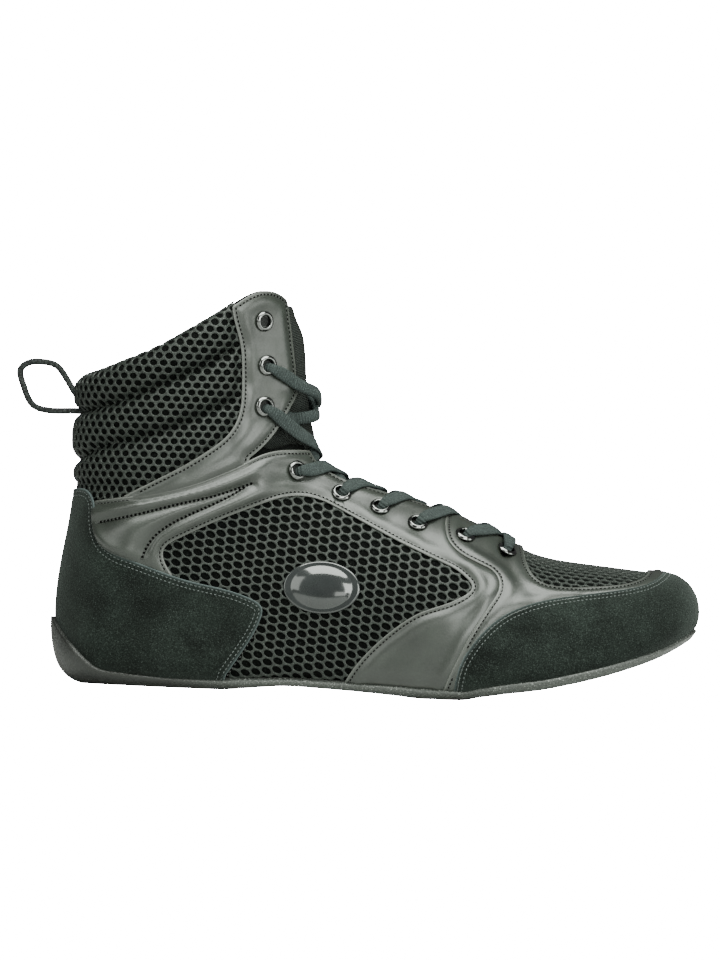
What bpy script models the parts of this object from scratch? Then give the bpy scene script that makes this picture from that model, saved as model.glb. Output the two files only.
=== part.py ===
"""High-top wrestling shoe for the right foot, standing empty on its sole.

The shoe points along +X, its outer (lateral) side faces -Y, and +Z is up.
The origin is the middle of the flat spot under the heel.
The upper, its panels, the tongue, the insole and the sole all follow one function, skin(),
which gives the outside of the upper from the table LAST.
"""

import functools
import math

import bmesh
import bpy
import numpy as np
from mathutils import Vector

# Driving sizes, in metres
SHOE_LENGTH = 0.287
SHAFT_HEIGHT = 0.1773
BALL_WIDTH = 0.094
HEEL_REST_SETBACK = 0.048
TOE_SPRING = 0.033
ARCH_LIFT = 0.0028
ARCH_MEAN, ARCH_TILT = 1.4, 0.4
HEEL_CUP_HEIGHT = 0.031

# Wall and panel thicknesses, in metres
WALL = 0.0020
COLLAR_PADDING = 0.0035
ROLL_RISE = 0.0026
LOW_ROLL_SHARE = 0.4
ROLL_FADE = 0.006
ROLL_STOP = 0.0135
PANEL = 0.0012
FIT_GAP = 0.0003

# Sole, in metres
EDGE_BAND = 0.0040
LIP_RISE = 0.0010
LIP_THICKNESS = 0.0024
WALL_FLARE = 0.09
HEEL_SLACK = 0.0007
GROOVE_DEPTH = 0.0010
GROOVE_WIDTH = 0.0024
INSOLE_THICKNESS = 0.0030
INSOLE_CLEARANCE = 0.0046
INSOLE_EDGE_MARGIN = 0.0024
INSOLE_RISE = 0.0008
INSOLE_LEAST = 0.0040

# Throat, tongue, eyelets and lace, in metres
THROAT_HALF_GAP = 0.0130
THROAT_END_RADIUS = 0.012
TONGUE_THICKNESS = 0.0032
TONGUE_CLEARANCE = 0.0022
TONGUE_CROWN = 0.0022
EYELET_HOLE_RADIUS = 0.0024
EYELET_BARREL = 0.0005
EYELET_FLANGE_RADIUS = 0.0044
EYELET_FLANGE = 0.0007
LACE_WIDTH = 0.0062
LACE_THICKNESS = 0.0015
LACE_SLACK = 0.0050
LACE_HEIGHT = PANEL + 5 * FIT_GAP + EYELET_FLANGE + LACE_THICKNESS / 2

# Pull loop and badge, in metres
LOOP_WIDTH = 0.010
LOOP_THICKNESS = 0.0012
BADGE_LENGTH = 0.034
BADGE_HEIGHT = 0.023
BADGE_THICKNESS = 0.0018

MERGE = 1e-6
PRISM_REACH = 0.12
SIDES = (-1, 1)
SIDE_NAMES = {-1: "outer", 1: "inner"}

# Sections of the last, from the toe tip over the instep to above the collar. Each is a plane
# through the bottom or back point (sole_x, sole_z) and the ridge point (ridge_x, ridge_z).
# x is a share of SHOE_LENGTH from the heel's back, z of SHAFT_HEIGHT, and centre, half and
# ridge_y of BALL_WIDTH. widest is the share of the section's height where it is widest;
# low and top are the roundness below and above it, where 2 is an ellipse.
COLUMNS = ("sole_x", "sole_z", "ridge_x", "ridge_z", "centre", "half", "ridge_y", "widest", "low", "top")
LAST = (
    (0.9948, 0.2369, 0.9948, 0.2403, 0.096, 0.000, 0.096, 0.46, 2.0, 2.0),
    (0.9927, 0.2177, 0.9930, 0.2606, 0.096, 0.096, 0.096, 0.46, 2.0, 2.0),
    (0.9861, 0.1963, 0.9878, 0.2837, 0.094, 0.181, 0.094, 0.44, 2.0, 2.0),
    (0.9721, 0.1709, 0.9756, 0.3080, 0.087, 0.266, 0.089, 0.40, 2.2, 2.0),
    (0.9477, 0.1421, 0.9512, 0.3271, 0.074, 0.346, 0.083, 0.36, 2.6, 2.1),
    (0.9094, 0.1089, 0.9129, 0.3339, 0.055, 0.410, 0.074, 0.32, 3.2, 2.15),
    (0.8571, 0.0767, 0.8571, 0.3418, 0.034, 0.457, 0.066, 0.28, 3.8, 2.15),
    (0.7944, 0.0485, 0.7944, 0.3508, 0.013, 0.489, 0.060, 0.26, 4.2, 2.1),
    (0.7317, 0.0305, 0.7317, 0.3723, -0.003, 0.500, 0.055, 0.25, 4.5, 2.1),
    (0.6690, 0.0192, 0.6690, 0.4241, -0.019, 0.493, 0.053, 0.24, 4.7, 2.1),
    (0.5993, 0.0113, 0.5993, 0.4704, -0.037, 0.463, 0.051, 0.22, 4.9, 2.15),
    (0.5226, 0.0135, 0.5261, 0.5076, -0.048, 0.413, 0.047, 0.20, 5.0, 2.2),
    (0.4390, 0.0209, 0.4599, 0.5415, -0.045, 0.365, 0.040, 0.20, 5.0, 2.2),
    (0.3484, 0.0237, 0.4216, 0.5697, -0.032, 0.340, 0.032, 0.20, 5.0, 2.25),
    (0.2578, 0.0147, 0.4007, 0.5950, -0.017, 0.340, 0.023, 0.20, 5.0, 2.35),
    (0.1672, 0.0113, 0.3878, 0.6289, -0.006, 0.349, 0.016, 0.22, 5.0, 2.45),
    (0.0906, 0.0158, 0.3784, 0.6712, 0.000, 0.351, 0.011, 0.25, 4.3, 2.5),
    (0.0401, 0.0350, 0.3728, 0.7163, 0.000, 0.351, 0.006, 0.27, 3.4, 2.5),
    (0.0195, 0.0846, 0.3693, 0.7558, 0.000, 0.352, 0.003, 0.29, 2.4, 2.5),
    (0.0111, 0.1551, 0.3669, 0.7924, 0.000, 0.352, 0.000, 0.31, 1.95, 2.45),
    (0.0111, 0.2369, 0.3652, 0.8263, 0.000, 0.348, 0.000, 0.33, 1.85, 2.4),
    (0.0174, 0.3215, 0.3631, 0.8573, 0.000, 0.340, 0.000, 0.35, 1.85, 2.35),
    (0.0254, 0.4061, 0.3603, 0.8883, 0.000, 0.336, 0.000, 0.38, 1.85, 2.3),
    (0.0303, 0.4907, 0.3575, 0.9165, 0.000, 0.336, 0.000, 0.41, 1.85, 2.25),
    (0.0314, 0.5809, 0.3540, 0.9447, 0.000, 0.341, 0.000, 0.43, 1.85, 2.2),
    (0.0314, 0.6712, 0.3495, 0.9757, 0.000, 0.349, 0.000, 0.45, 1.85, 2.2),
    (0.0321, 0.7614, 0.3432, 1.0096, 0.000, 0.356, 0.000, 0.46, 1.85, 2.2),
    (0.0331, 0.8517, 0.3362, 1.0491, 0.000, 0.362, 0.000, 0.47, 1.85, 2.2),
)

# Rows of the surface grid, as section numbers. Those after SHAFT_ROW are stretched so that
# the last one lies on the collar's edge.
FOOT_ROWS = (0, 0.5, 1.2, 2.1, 3.2, 4.5, 6, 7.2, 8.2, 8.5, 8.9, 9.6, 10.3, 11.5, 13, 14.2, 15.2, 16,
             16.6, 17.3, 18.2, 19.15, 20.5, 22)
SHAFT_ROW = 22
SHAFT_STEPS = 7
THROAT_ROW = 8.2
GRID_COLUMNS = 8

# Side-view lines: (share of SHOE_LENGTH from the heel's back, share of SHAFT_HEIGHT)
COLLAR_LINE = ((-0.05, 0.752), (0.030, 0.771), (0.087, 0.805), (0.148, 0.849), (0.208, 0.906),
               (0.257, 0.957), (0.284, 0.988), (0.305, 1.000), (0.330, 0.990), (0.345, 0.965),
               (0.355, 0.930), (0.375, 0.880))
GROOVE_1 = ((0.0, 0.664), (0.031, 0.678), (0.089, 0.707), (0.150, 0.752), (0.211, 0.801), (0.267, 0.855),
            (0.300, 0.880))
GROOVE_2 = ((0.0, 0.545), (0.030, 0.557), (0.061, 0.590), (0.123, 0.621), (0.184, 0.658), (0.245, 0.708),
            (0.300, 0.755))
COUNTER_LINE = ((-0.060, 0.484), (0.027, 0.484), (0.049, 0.484), (0.061, 0.459), (0.064, 0.421),
                (0.073, 0.362), (0.086, 0.338), (0.123, 0.312), (0.210, 0.268), (0.304, 0.232),
                (0.325, 0.206), (0.323, 0.180), (0.307, 0.124), (0.264, 0.020))
FLAP_REAR = ((0.257, 0.985), (0.257, 0.957), (0.272, 0.863), (0.277, 0.775), (0.275, 0.687), (0.262, 0.641),
             (0.232, 0.596), (0.194, 0.554), (0.141, 0.505), (0.105, 0.471))
FLAP_LOW = ((0.365, 0.760), (0.350, 0.705), (0.333, 0.652), (0.312, 0.607), (0.294, 0.580))
QUARTER_TOP = ((0.063, 0.457), (0.105, 0.469), (0.142, 0.480), (0.188, 0.499), (0.219, 0.516),
               (0.249, 0.537), (0.284, 0.565), (0.307, 0.586), (0.333, 0.600), (0.356, 0.604),
               (0.385, 0.604), (0.430, 0.604))
WINDOW = ((0.183, 0.284), (0.171, 0.316), (0.169, 0.341), (0.191, 0.372), (0.252, 0.422), (0.313, 0.464),
          (0.356, 0.487), (0.390, 0.487), (0.445, 0.453), (0.533, 0.383), (0.588, 0.345), (0.637, 0.300),
          (0.645, 0.280), (0.632, 0.257), (0.568, 0.213), (0.523, 0.162), (0.481, 0.093), (0.445, 0.010))
VAMP_REAR = ((0.605, 0.560), (0.601, 0.464), (0.600, 0.421), (0.604, 0.396), (0.618, 0.368), (0.658, 0.334),
             (0.680, 0.312), (0.686, 0.285), (0.674, 0.240), (0.647, 0.168), (0.626, 0.096), (0.598, 0.000))
CAP_LINE = ((0.620, -0.020), (0.631, 0.084), (0.655, 0.153), (0.692, 0.211), (0.738, 0.244), (0.807, 0.267),
            (0.885, 0.287), (0.930, 0.313), (0.948, 0.345), (0.955, 0.420))
VAMP_WINDOW = ((0.726, 0.460), (0.722, 0.372), (0.729, 0.335), (0.748, 0.299), (0.775, 0.287),
               (0.846, 0.291), (0.892, 0.303), (0.917, 0.325), (0.922, 0.400))
NOTCH = ((0.372, 0.760), (0.348, 0.694), (0.325, 0.640), (0.314, 0.614), (0.326, 0.606), (0.352, 0.618),
         (0.380, 0.620), (0.440, 0.620), (0.440, 0.760))
PULL_LOOP = ((0.0205, 0.707), (0.019, 0.717), (0.001, 0.768), (-0.019, 0.797), (-0.045, 0.800),
             (-0.062, 0.791), (-0.068, 0.768), (-0.062, 0.737), (-0.050, 0.708), (-0.033, 0.687),
             (-0.003, 0.680), (0.0200, 0.681))
BADGE_CENTRE = (0.415, 0.265)

# Eyelets from the collar down to the vamp, in the same shares
EYELETS = ((0.307, 0.923), (0.315, 0.813), (0.314, 0.710), (0.368, 0.553), (0.438, 0.500),
           (0.499, 0.469), (0.558, 0.433), (0.631, 0.405), (0.696, 0.372))

# Rise of the sole's underside towards the toe, as a share of TOE_SPRING
TOE_RISE = ((-0.2, 0.0), (0.575, 0.0), (0.632, 0.0), (0.666, 0.055), (0.697, 0.103), (0.7585, 0.188),
            (0.790, 0.250), (0.850, 0.390), (0.912, 0.575), (0.943, 0.690), (0.973, 0.835), (0.990, 0.930),
            (1.010, 1.060))
# Lift of the waist off the floor, as a share of ARCH_LIFT
ARCH = ((-0.2, 0.0), (0.262, 0.0), (0.310, 0.45), (0.363, 1.0), (0.420, 0.9), (0.480, 0.65), (0.540, 0.28),
        (0.575, 0.0), (1.01, 0.0))
# Rise of the lip up the back of the heel, as a share of the cup above the edge band
CUP_RISE = ((-0.02, 1.02), (0.0056, 0.99), (0.011, 0.84), (0.0275, 0.57), (0.044, 0.38), (0.060, 0.225),
            (0.076, 0.115), (0.115, 0.05), (0.154, 0.02), (0.200, 0.0), (1.01, 0.0))
# Flex grooves across the forefoot, as shares of SHOE_LENGTH
FLEX_GROOVES = (0.690, 0.735, 0.780)

FINISHES = {
    "suede": ((0.028, 0.034, 0.033), 0.95, 0.0),
    "leather": ((0.075, 0.078, 0.075), 0.42, 0.0),
    "mesh": ((0.020, 0.022, 0.021), 0.85, 0.0),
    "rubber": ((0.060, 0.060, 0.057), 0.70, 0.0),
    "metal": ((0.10, 0.10, 0.105), 0.20, 1.0),
    "lace": ((0.030, 0.040, 0.042), 0.90, 0.0),
    "webbing": ((0.035, 0.040, 0.040), 0.85, 0.0),
    "gloss": ((0.020, 0.023, 0.027), 0.10, 0.0),
    "foam": ((0.030, 0.030, 0.032), 0.90, 0.0),
}


# Curves through the tables

def natural_spline(xs, ys):
    """A cubic spline through the points, with no bending at its ends."""
    xs, ys = np.asarray(xs, float), np.asarray(ys, float)
    step, slope = np.diff(xs), np.diff(ys) / np.diff(xs)
    count = len(xs)
    matrix, target = np.eye(count), np.zeros(count)
    for i in range(1, count - 1):
        matrix[i, i - 1:i + 2] = step[i - 1], 2 * (step[i - 1] + step[i]), step[i]
        target[i] = 6 * (slope[i] - slope[i - 1])
    bend = np.linalg.solve(matrix, target)

    def at(x):
        i = int(np.clip(np.searchsorted(xs, x) - 1, 0, count - 2))
        a, b = (xs[i + 1] - x) / step[i], (x - xs[i]) / step[i]
        cubic = ((a ** 3 - a) * bend[i] + (b ** 3 - b) * bend[i + 1]) * step[i] ** 2 / 6
        return float(a * ys[i] + b * ys[i + 1] + cubic)

    return at


def steady_curve(points):
    """A smooth curve through the points that never overshoots them."""
    xs, ys = np.array(points, float).T
    slope = np.diff(ys) / np.diff(xs)
    tangent = np.concatenate([[slope[0]], (slope[1:] + slope[:-1]) / 2, [slope[-1]]])
    for i, rise in enumerate(slope):
        if rise == 0:
            tangent[i] = tangent[i + 1] = 0
            continue
        reach = math.hypot(tangent[i] / rise, tangent[i + 1] / rise)
        if reach > 3:
            tangent[i] *= 3 / reach
            tangent[i + 1] *= 3 / reach

    def at(x):
        i = int(np.clip(np.searchsorted(xs, x) - 1, 0, len(xs) - 2))
        h = xs[i + 1] - xs[i]
        u = min(max((x - xs[i]) / h, 0.0), 1.0)
        return float(
            (1 + 2 * u) * (1 - u) ** 2 * ys[i] + u * (1 - u) ** 2 * h * tangent[i]
            + u * u * (3 - 2 * u) * ys[i + 1] + u * u * (u - 1) * h * tangent[i + 1]
        )

    return at


def in_metres(line):
    return [(x * SHOE_LENGTH, z * SHAFT_HEIGHT) for x, z in line]


def smooth_line(line, steps=2):
    """A side-view line in metres, rounded through its points."""
    points = np.array(in_metres(line))
    reach = np.concatenate([[0], np.cumsum(np.hypot(*np.diff(points, axis=0).T))])
    along_x, along_z = natural_spline(reach, points[:, 0]), natural_spline(reach, points[:, 1])
    stations = [a + (b - a) * k / steps for a, b in zip(reach[:-1], reach[1:]) for k in range(steps)]
    return [(along_x(r), along_z(r)) for r in [*stations, reach[-1]]]


SECTION = {name: natural_spline(range(len(LAST)), [row[i] for row in LAST])
           for i, name in enumerate(COLUMNS)}
toe_rise, arch_share, cup_rise = steady_curve(TOE_RISE), steady_curve(ARCH), steady_curve(CUP_RISE)
collar_height, groove_1, groove_2 = steady_curve(COLLAR_LINE), steady_curve(GROOVE_1), steady_curve(GROOVE_2)
quarter_top = steady_curve(QUARTER_TOP)
flap_rear_at = steady_curve([(z, x) for x, z in reversed(FLAP_REAR)])


# Levels of the sole

def base_rise(x):
    """Height of the sole's plan line over the floor, without its thickness."""
    share = x / SHOE_LENGTH
    return TOE_SPRING * toe_rise(share) + ARCH_LIFT * arch_share(share) / 2


def ground(x, y):
    """Height of the sole's underside. The waist is lifted more on the inner side."""
    share = x / SHOE_LENGTH
    lift = ARCH_MEAN + ARCH_TILT * min(max(y / (BALL_WIDTH / 3), -1), 1)
    return TOE_SPRING * toe_rise(share) + ARCH_LIFT * arch_share(share) * lift


def bed(x):
    """Height of the sole's inside, where the upper and the insole stand."""
    return base_rise(x) + EDGE_BAND - LIP_RISE


def lip(x):
    """Height of the sole's top edge on the outside of the upper."""
    return base_rise(x) + EDGE_BAND + (HEEL_CUP_HEIGHT - EDGE_BAND) * cup_rise(x / SHOE_LENGTH)


# The outside of the upper

@functools.lru_cache(maxsize=None)
def section(t):
    """Sizes of section t, in metres."""
    row = {name: SECTION[name](t) for name in COLUMNS}
    low = Vector((row["sole_x"] * SHOE_LENGTH, row["sole_z"] * SHAFT_HEIGHT))
    high = Vector((row["ridge_x"] * SHOE_LENGTH, row["ridge_z"] * SHAFT_HEIGHT))
    widths = [row[name] * BALL_WIDTH for name in ("centre", "half", "ridge_y")]
    return low, high, *widths, row["widest"], row["low"], row["top"]


def share_at_height(t, height):
    """Share of section t's height where the surface reaches height(x), or 0 if it starts above."""
    low, high = section(t)[:2]
    if low.y >= height(low.x):
        return 0.0
    under, over = 0.0, 1.0
    for _ in range(30):
        share = (under + over) / 2
        point = low.lerp(high, share)
        under, over = (share, over) if point.y < height(point.x) else (under, share)
    return under


def section_point(t, side, share):
    """Point of section t on one side, at a share of its height."""
    low, high, centre, half, ridge_y, widest, low_power, top_power = section(t)
    share = min(max(share, 0.0), 1.0)
    if share < widest:
        width = (1 - ((widest - share) / widest) ** low_power) ** (1 / low_power)
    else:
        width = (1 - ((share - widest) / (1 - widest)) ** top_power) ** (1 / top_power)
    middle = centre + (ridge_y - centre) * share * share
    return Vector((low.x + share * (high.x - low.x), middle + side * half * width,
                   low.y + share * (high.y - low.y)))


@functools.lru_cache(maxsize=None)
def half_loop(t, side, start):
    """Points up one side of section t from share start to the ridge, and how far along each lies."""
    widest, low_power, top_power = section(t)[5:]
    first = math.pi / 2
    if start < widest:
        first = math.acos(min(1.0, (widest - start) / widest) ** (low_power / 2))
    points = []
    for angle in np.linspace(first, math.pi, 120):
        cosine = math.cos(angle)
        if cosine > 0:
            share = widest * (1 - cosine ** (2 / low_power))
        else:
            share = widest + (1 - widest) * (-cosine) ** (2 / top_power)
        points.append(section_point(t, side, share))
    points = np.array(points)
    reach = np.concatenate([[0], np.cumsum(np.linalg.norm(np.diff(points, axis=0), axis=1))])
    return points, reach


def throat_gap(t):
    """Half the width of the throat at section t, measured along the surface."""
    run = (section(t)[1] - section(THROAT_ROW)[1]).length
    if t <= THROAT_ROW:
        return 0.0
    widen = 0.75 + 0.25 * min(1.0, (t - THROAT_ROW) / 4)
    return THROAT_HALF_GAP * widen * math.sqrt(1 - (1 - min(run / THROAT_END_RADIUS, 1.0)) ** 2)


@functools.lru_cache(maxsize=None)
def foot_start(t):
    """Share of section t's height where the upper's wall starts, just over the sole's inside."""
    return share_at_height(t, lambda x: bed(x) + FIT_GAP)


def surface_point(t, side, along, start=None, gap=None):
    """Point of the bare surface: along runs from 0 at the bottom or back to 1 at the throat or ridge."""
    if t <= 0:
        low, high, centre = section(0)[:3]
        return Vector(((low.x + high.x) / 2, centre, (low.y + high.y) / 2))
    points, reach = half_loop(t, side, foot_start(t) if start is None else start)
    span = reach[-1] - (throat_gap(t) if gap is None else gap)
    return Vector([np.interp(along * span, reach, points[:, k]) for k in range(3)])


def surface_normal(t, side, along, start=None, gap=None):
    """Outward normal of the bare surface, from points close by. Both sides share it where they meet."""
    if t <= 0:
        return Vector((1, 0, 0))
    dt, da = 0.02, 0.012
    t0, t1 = max(t - dt, 0.05), min(t + dt, len(LAST) - 1.0)
    a0, a1 = max(along - da, 0.0), min(along + da, 1.0)
    fixed = foot_start(t) if start is None else start
    edge = throat_gap(t) if gap is None else gap
    at_seam = along <= 0 and fixed == 0 or along >= 1 and edge == 0
    normal = Vector((0, 0, 0))
    for hand in SIDES if at_seam else (side,):
        across = surface_point(t, hand, a1, fixed, edge) - surface_point(t, hand, a0, fixed, edge)
        run = surface_point(t1, hand, along, fixed, edge) - surface_point(t0, hand, along, fixed, edge)
        normal += (run.cross(across) * hand).normalized()
    return normal.normalized()


def roll_share(x, z):
    """How far a point of the collar stands out, from 0 in a sewn groove to 1 on top of a roll."""
    sx, sz = x / SHOE_LENGTH, z / SHAFT_HEIGHT
    seam = max(COUNTER_LINE[1][1], quarter_top(sx)) + ROLL_STOP / SHAFT_HEIGHT
    levels = [min(seam, groove_2(sx)), groove_2(sx), groove_1(sx), collar_height(sx)]
    if sz <= levels[0] or sz >= levels[3] + 0.02:
        return 0.0
    band = max(i for i in range(3) if sz > levels[i])
    u = min((sz - levels[band]) / (levels[band + 1] - levels[band]), 1.0)
    round_off = math.sqrt(max(0.0, 4 * u * (1 - u)))
    if band == 2 and u > 0.5:
        round_off = max(round_off, 0.55)
    if band == 0:
        round_off *= LOW_ROLL_SHARE
    before_flap = ((flap_rear_at(sz) - sx) * SHOE_LENGTH - ROLL_STOP) / ROLL_FADE
    return round_off * min(max(before_flap, 0.0), 1.0)


def padding_share(x, z):
    """1 in the padded collar and 0 in the foot and the flaps, with a soft edge between."""
    sx, sz = x / SHOE_LENGTH, z / SHAFT_HEIGHT
    up = (sz - COUNTER_LINE[1][1]) * SHAFT_HEIGHT / ROLL_FADE
    before_flap = (flap_rear_at(sz) - sx) * SHOE_LENGTH / ROLL_FADE
    return min(max(min(up, before_flap), 0.0), 1.0)


def placed(point):
    """A point with x from the heel's back, moved to the part's frame."""
    return Vector((point.x - HEEL_REST_SETBACK, point.y, point.z))


def skin(t, side, along, offset, start=None, gap=None):
    """Point at an offset from the upper's outside, with x from the heel's back."""
    return surface_point(t, side, along, start, gap) + surface_normal(t, side, along, start, gap) * offset


def collar_row(side, along):
    """Section number where the surface crosses the collar's edge."""
    low, high = float(SHAFT_ROW), len(LAST) - 1.0
    for _ in range(18):
        middle = (low + high) / 2
        point = surface_point(middle, side, along)
        if point.z < collar_height(point.x / SHOE_LENGTH) * SHAFT_HEIGHT:
            low = middle
        else:
            high = middle
    return low


def grid_rows(side, along):
    """Section numbers of one column of the surface grid."""
    last = collar_row(side, along)
    step = (last - SHAFT_ROW) / SHAFT_STEPS
    return [*FOOT_ROWS, *[SHAFT_ROW + step * k for k in range(1, SHAFT_STEPS + 1)]]


# Building objects

def clear_scene():
    for obj in list(bpy.data.objects):
        bpy.data.objects.remove(obj, do_unlink=True)


def collection(name, hidden=False):
    made = bpy.data.collections.new(name)
    bpy.context.scene.collection.children.link(made)
    made.hide_render = hidden
    return made


def material(finish):
    if finish in bpy.data.materials:
        return bpy.data.materials[finish]
    colour, roughness, metallic = FINISHES[finish]
    made = bpy.data.materials.new(finish)
    made.use_nodes = True
    shader = made.node_tree.nodes["Principled BSDF"]
    shader.inputs["Base Color"].default_value = (*colour, 1)
    shader.inputs["Roughness"].default_value = roughness
    shader.inputs["Metallic"].default_value = metallic
    return made


def object_from(bm, name, finish, where):
    bmesh.ops.remove_doubles(bm, verts=bm.verts, dist=MERGE)
    mesh = bpy.data.meshes.new(name)
    bm.to_mesh(mesh)
    bm.free()
    mesh.shade_smooth()
    obj = bpy.data.objects.new(name, mesh)
    mesh.materials.append(material(finish))
    where.objects.link(obj)
    return obj


def lattice(bm, rows):
    """Triangles over rows of points, all of one length. Points that meet are merged later.

    Every lattice is split along the same diagonal, so layers of the shoe stay apart."""
    verts = [[bm.verts.new(placed(p)) for p in row] for row in rows]
    for upper, lower in zip(verts[1:], verts[:-1]):
        for k in range(len(upper) - 1):
            bm.faces.new((lower[k], lower[k + 1], upper[k + 1]))
            bm.faces.new((lower[k], upper[k + 1], upper[k]))
    return verts


def close_up(bm):
    """Merges meeting points, removes the faces that close up there, and turns the rest outward."""
    bmesh.ops.remove_doubles(bm, verts=bm.verts, dist=MERGE)
    bmesh.ops.dissolve_degenerate(bm, edges=bm.edges, dist=MERGE)
    bmesh.ops.recalc_face_normals(bm, faces=bm.faces)


def bridge(bm, one, two):
    """Faces between two lines of vertices."""
    for k in range(len(one) - 1):
        bm.faces.new((one[k], one[k + 1], two[k + 1], two[k]))


def shell(name, finish, where, outer, inner, sides=SIDES):
    """A closed wall between two offsets of the upper's outside. Each offset is a function of x and z."""
    bm = bmesh.new()
    for side in sides:
        columns = []
        for along in [k / GRID_COLUMNS for k in range(GRID_COLUMNS + 1)]:
            bare = [(surface_point(t, side, along), surface_normal(t, side, along))
                    for t in grid_rows(side, along)]
            columns.append([[p + n * offset(p.x, p.z) for p, n in bare] for offset in (outer, inner)])
        outside, inside = (lattice(bm, [column[k] for column in columns]) for k in range(2))
        rows = grid_rows(side, 0.0)
        whole = len(sides) == 2
        for i in range(len(rows) - 1):
            pair = rows[i:i + 2]
            if not whole or any(foot_start(t) > 0 for t in pair):
                bridge(bm, outside[0][i:i + 2], inside[0][i:i + 2])
            if not whole or any(throat_gap(t) > 0 for t in pair):
                bridge(bm, outside[-1][i:i + 2], inside[-1][i:i + 2])
        bridge(bm, [column[-1] for column in outside], [column[-1] for column in inside])
    close_up(bm)
    return object_from(bm, name, finish, where)


def solidify(obj, thickness, offset):
    wall = obj.modifiers.new("wall", "SOLIDIFY")
    wall.thickness = thickness
    wall.offset = offset
    wall.use_even_offset = True
    return obj


def boolean(obj, operation, cutter):
    cut = obj.modifiers.new(operation.lower(), "BOOLEAN")
    cut.operation = operation
    cut.solver = "EXACT"
    if isinstance(cutter, bpy.types.Collection):
        cut.operand_type = "COLLECTION"
        cut.collection = cutter
    else:
        cut.object = cutter


def helper(obj):
    obj.hide_render = True
    obj.display_type = "WIRE"
    return obj


def prism(name, outline, cutters):
    """A side-view outline in metres from the heel's back, carried right across the shoe."""
    bm = bmesh.new()
    face = bm.faces.new([bm.verts.new((x - HEEL_REST_SETBACK, -PRISM_REACH, z)) for x, z in outline])
    moved = bmesh.ops.extrude_face_region(bm, geom=[face])["geom"]
    verts = [v for v in moved if isinstance(v, bmesh.types.BMVert)]
    bmesh.ops.translate(bm, vec=(0, 2 * PRISM_REACH, 0), verts=verts)
    bmesh.ops.recalc_face_normals(bm, faces=bm.faces)
    return helper(object_from(bm, name, "foam", cutters))


def shifted(line, distance):
    """A side-view line moved to its left by a distance, looking along it."""
    points = np.array(line)
    run = np.gradient(points, axis=0)
    run /= np.linalg.norm(run, axis=1)[:, None]
    return [(x - dz * distance, z + dx * distance) for (x, z), (dx, dz) in zip(points, run)]


def panel(name, finish, outline, sides, where, cutters, window=None, holes=None):
    """A leather or suede panel over the upper, cut to a side-view outline, on one side or both."""
    obj = shell(name, finish, where, lambda x, z: FIT_GAP + PANEL, lambda x, z: FIT_GAP, sides)
    boolean(obj, "INTERSECT", prism(name + "_outline", outline, cutters))
    if window:
        boolean(obj, "DIFFERENCE", prism(name + "_window", window, cutters))
    if holes:
        boolean(obj, "DIFFERENCE", holes)
    return obj


# Places on the surface given by a side-view point

def locate(x, z):
    """Section number and share of its height for a side-view point, both in metres."""
    def beside(t):
        low, high = section(t)[:2]
        return (high.x - low.x) * (z - low.y) - (high.y - low.y) * (x - low.x)

    start, end = 1.0, len(LAST) - 1.0
    for _ in range(40):
        middle = (start + end) / 2
        if beside(middle) < 0:
            end = middle
        else:
            start = middle
    low, high = section(start)[:2]
    run = high - low
    return start, (Vector((x, z)) - low).dot(run) / run.length_squared


def along_at(t, side, share):
    """How far up the open surface a share of the section's height lies."""
    points, reach = half_loop(t, side, foot_start(t))
    height = section_point(t, side, share).z
    return float(np.interp(height, points[:, 2], reach)) / (reach[-1] - throat_gap(t))


def seat(side, mark):
    """Point and outward normal on the bare surface for a side-view mark in shares."""
    t, share = locate(mark[0] * SHOE_LENGTH, mark[1] * SHAFT_HEIGHT)
    along = along_at(t, side, share)
    return surface_point(t, side, along), surface_normal(t, side, along), t, along


# The pieces

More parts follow.
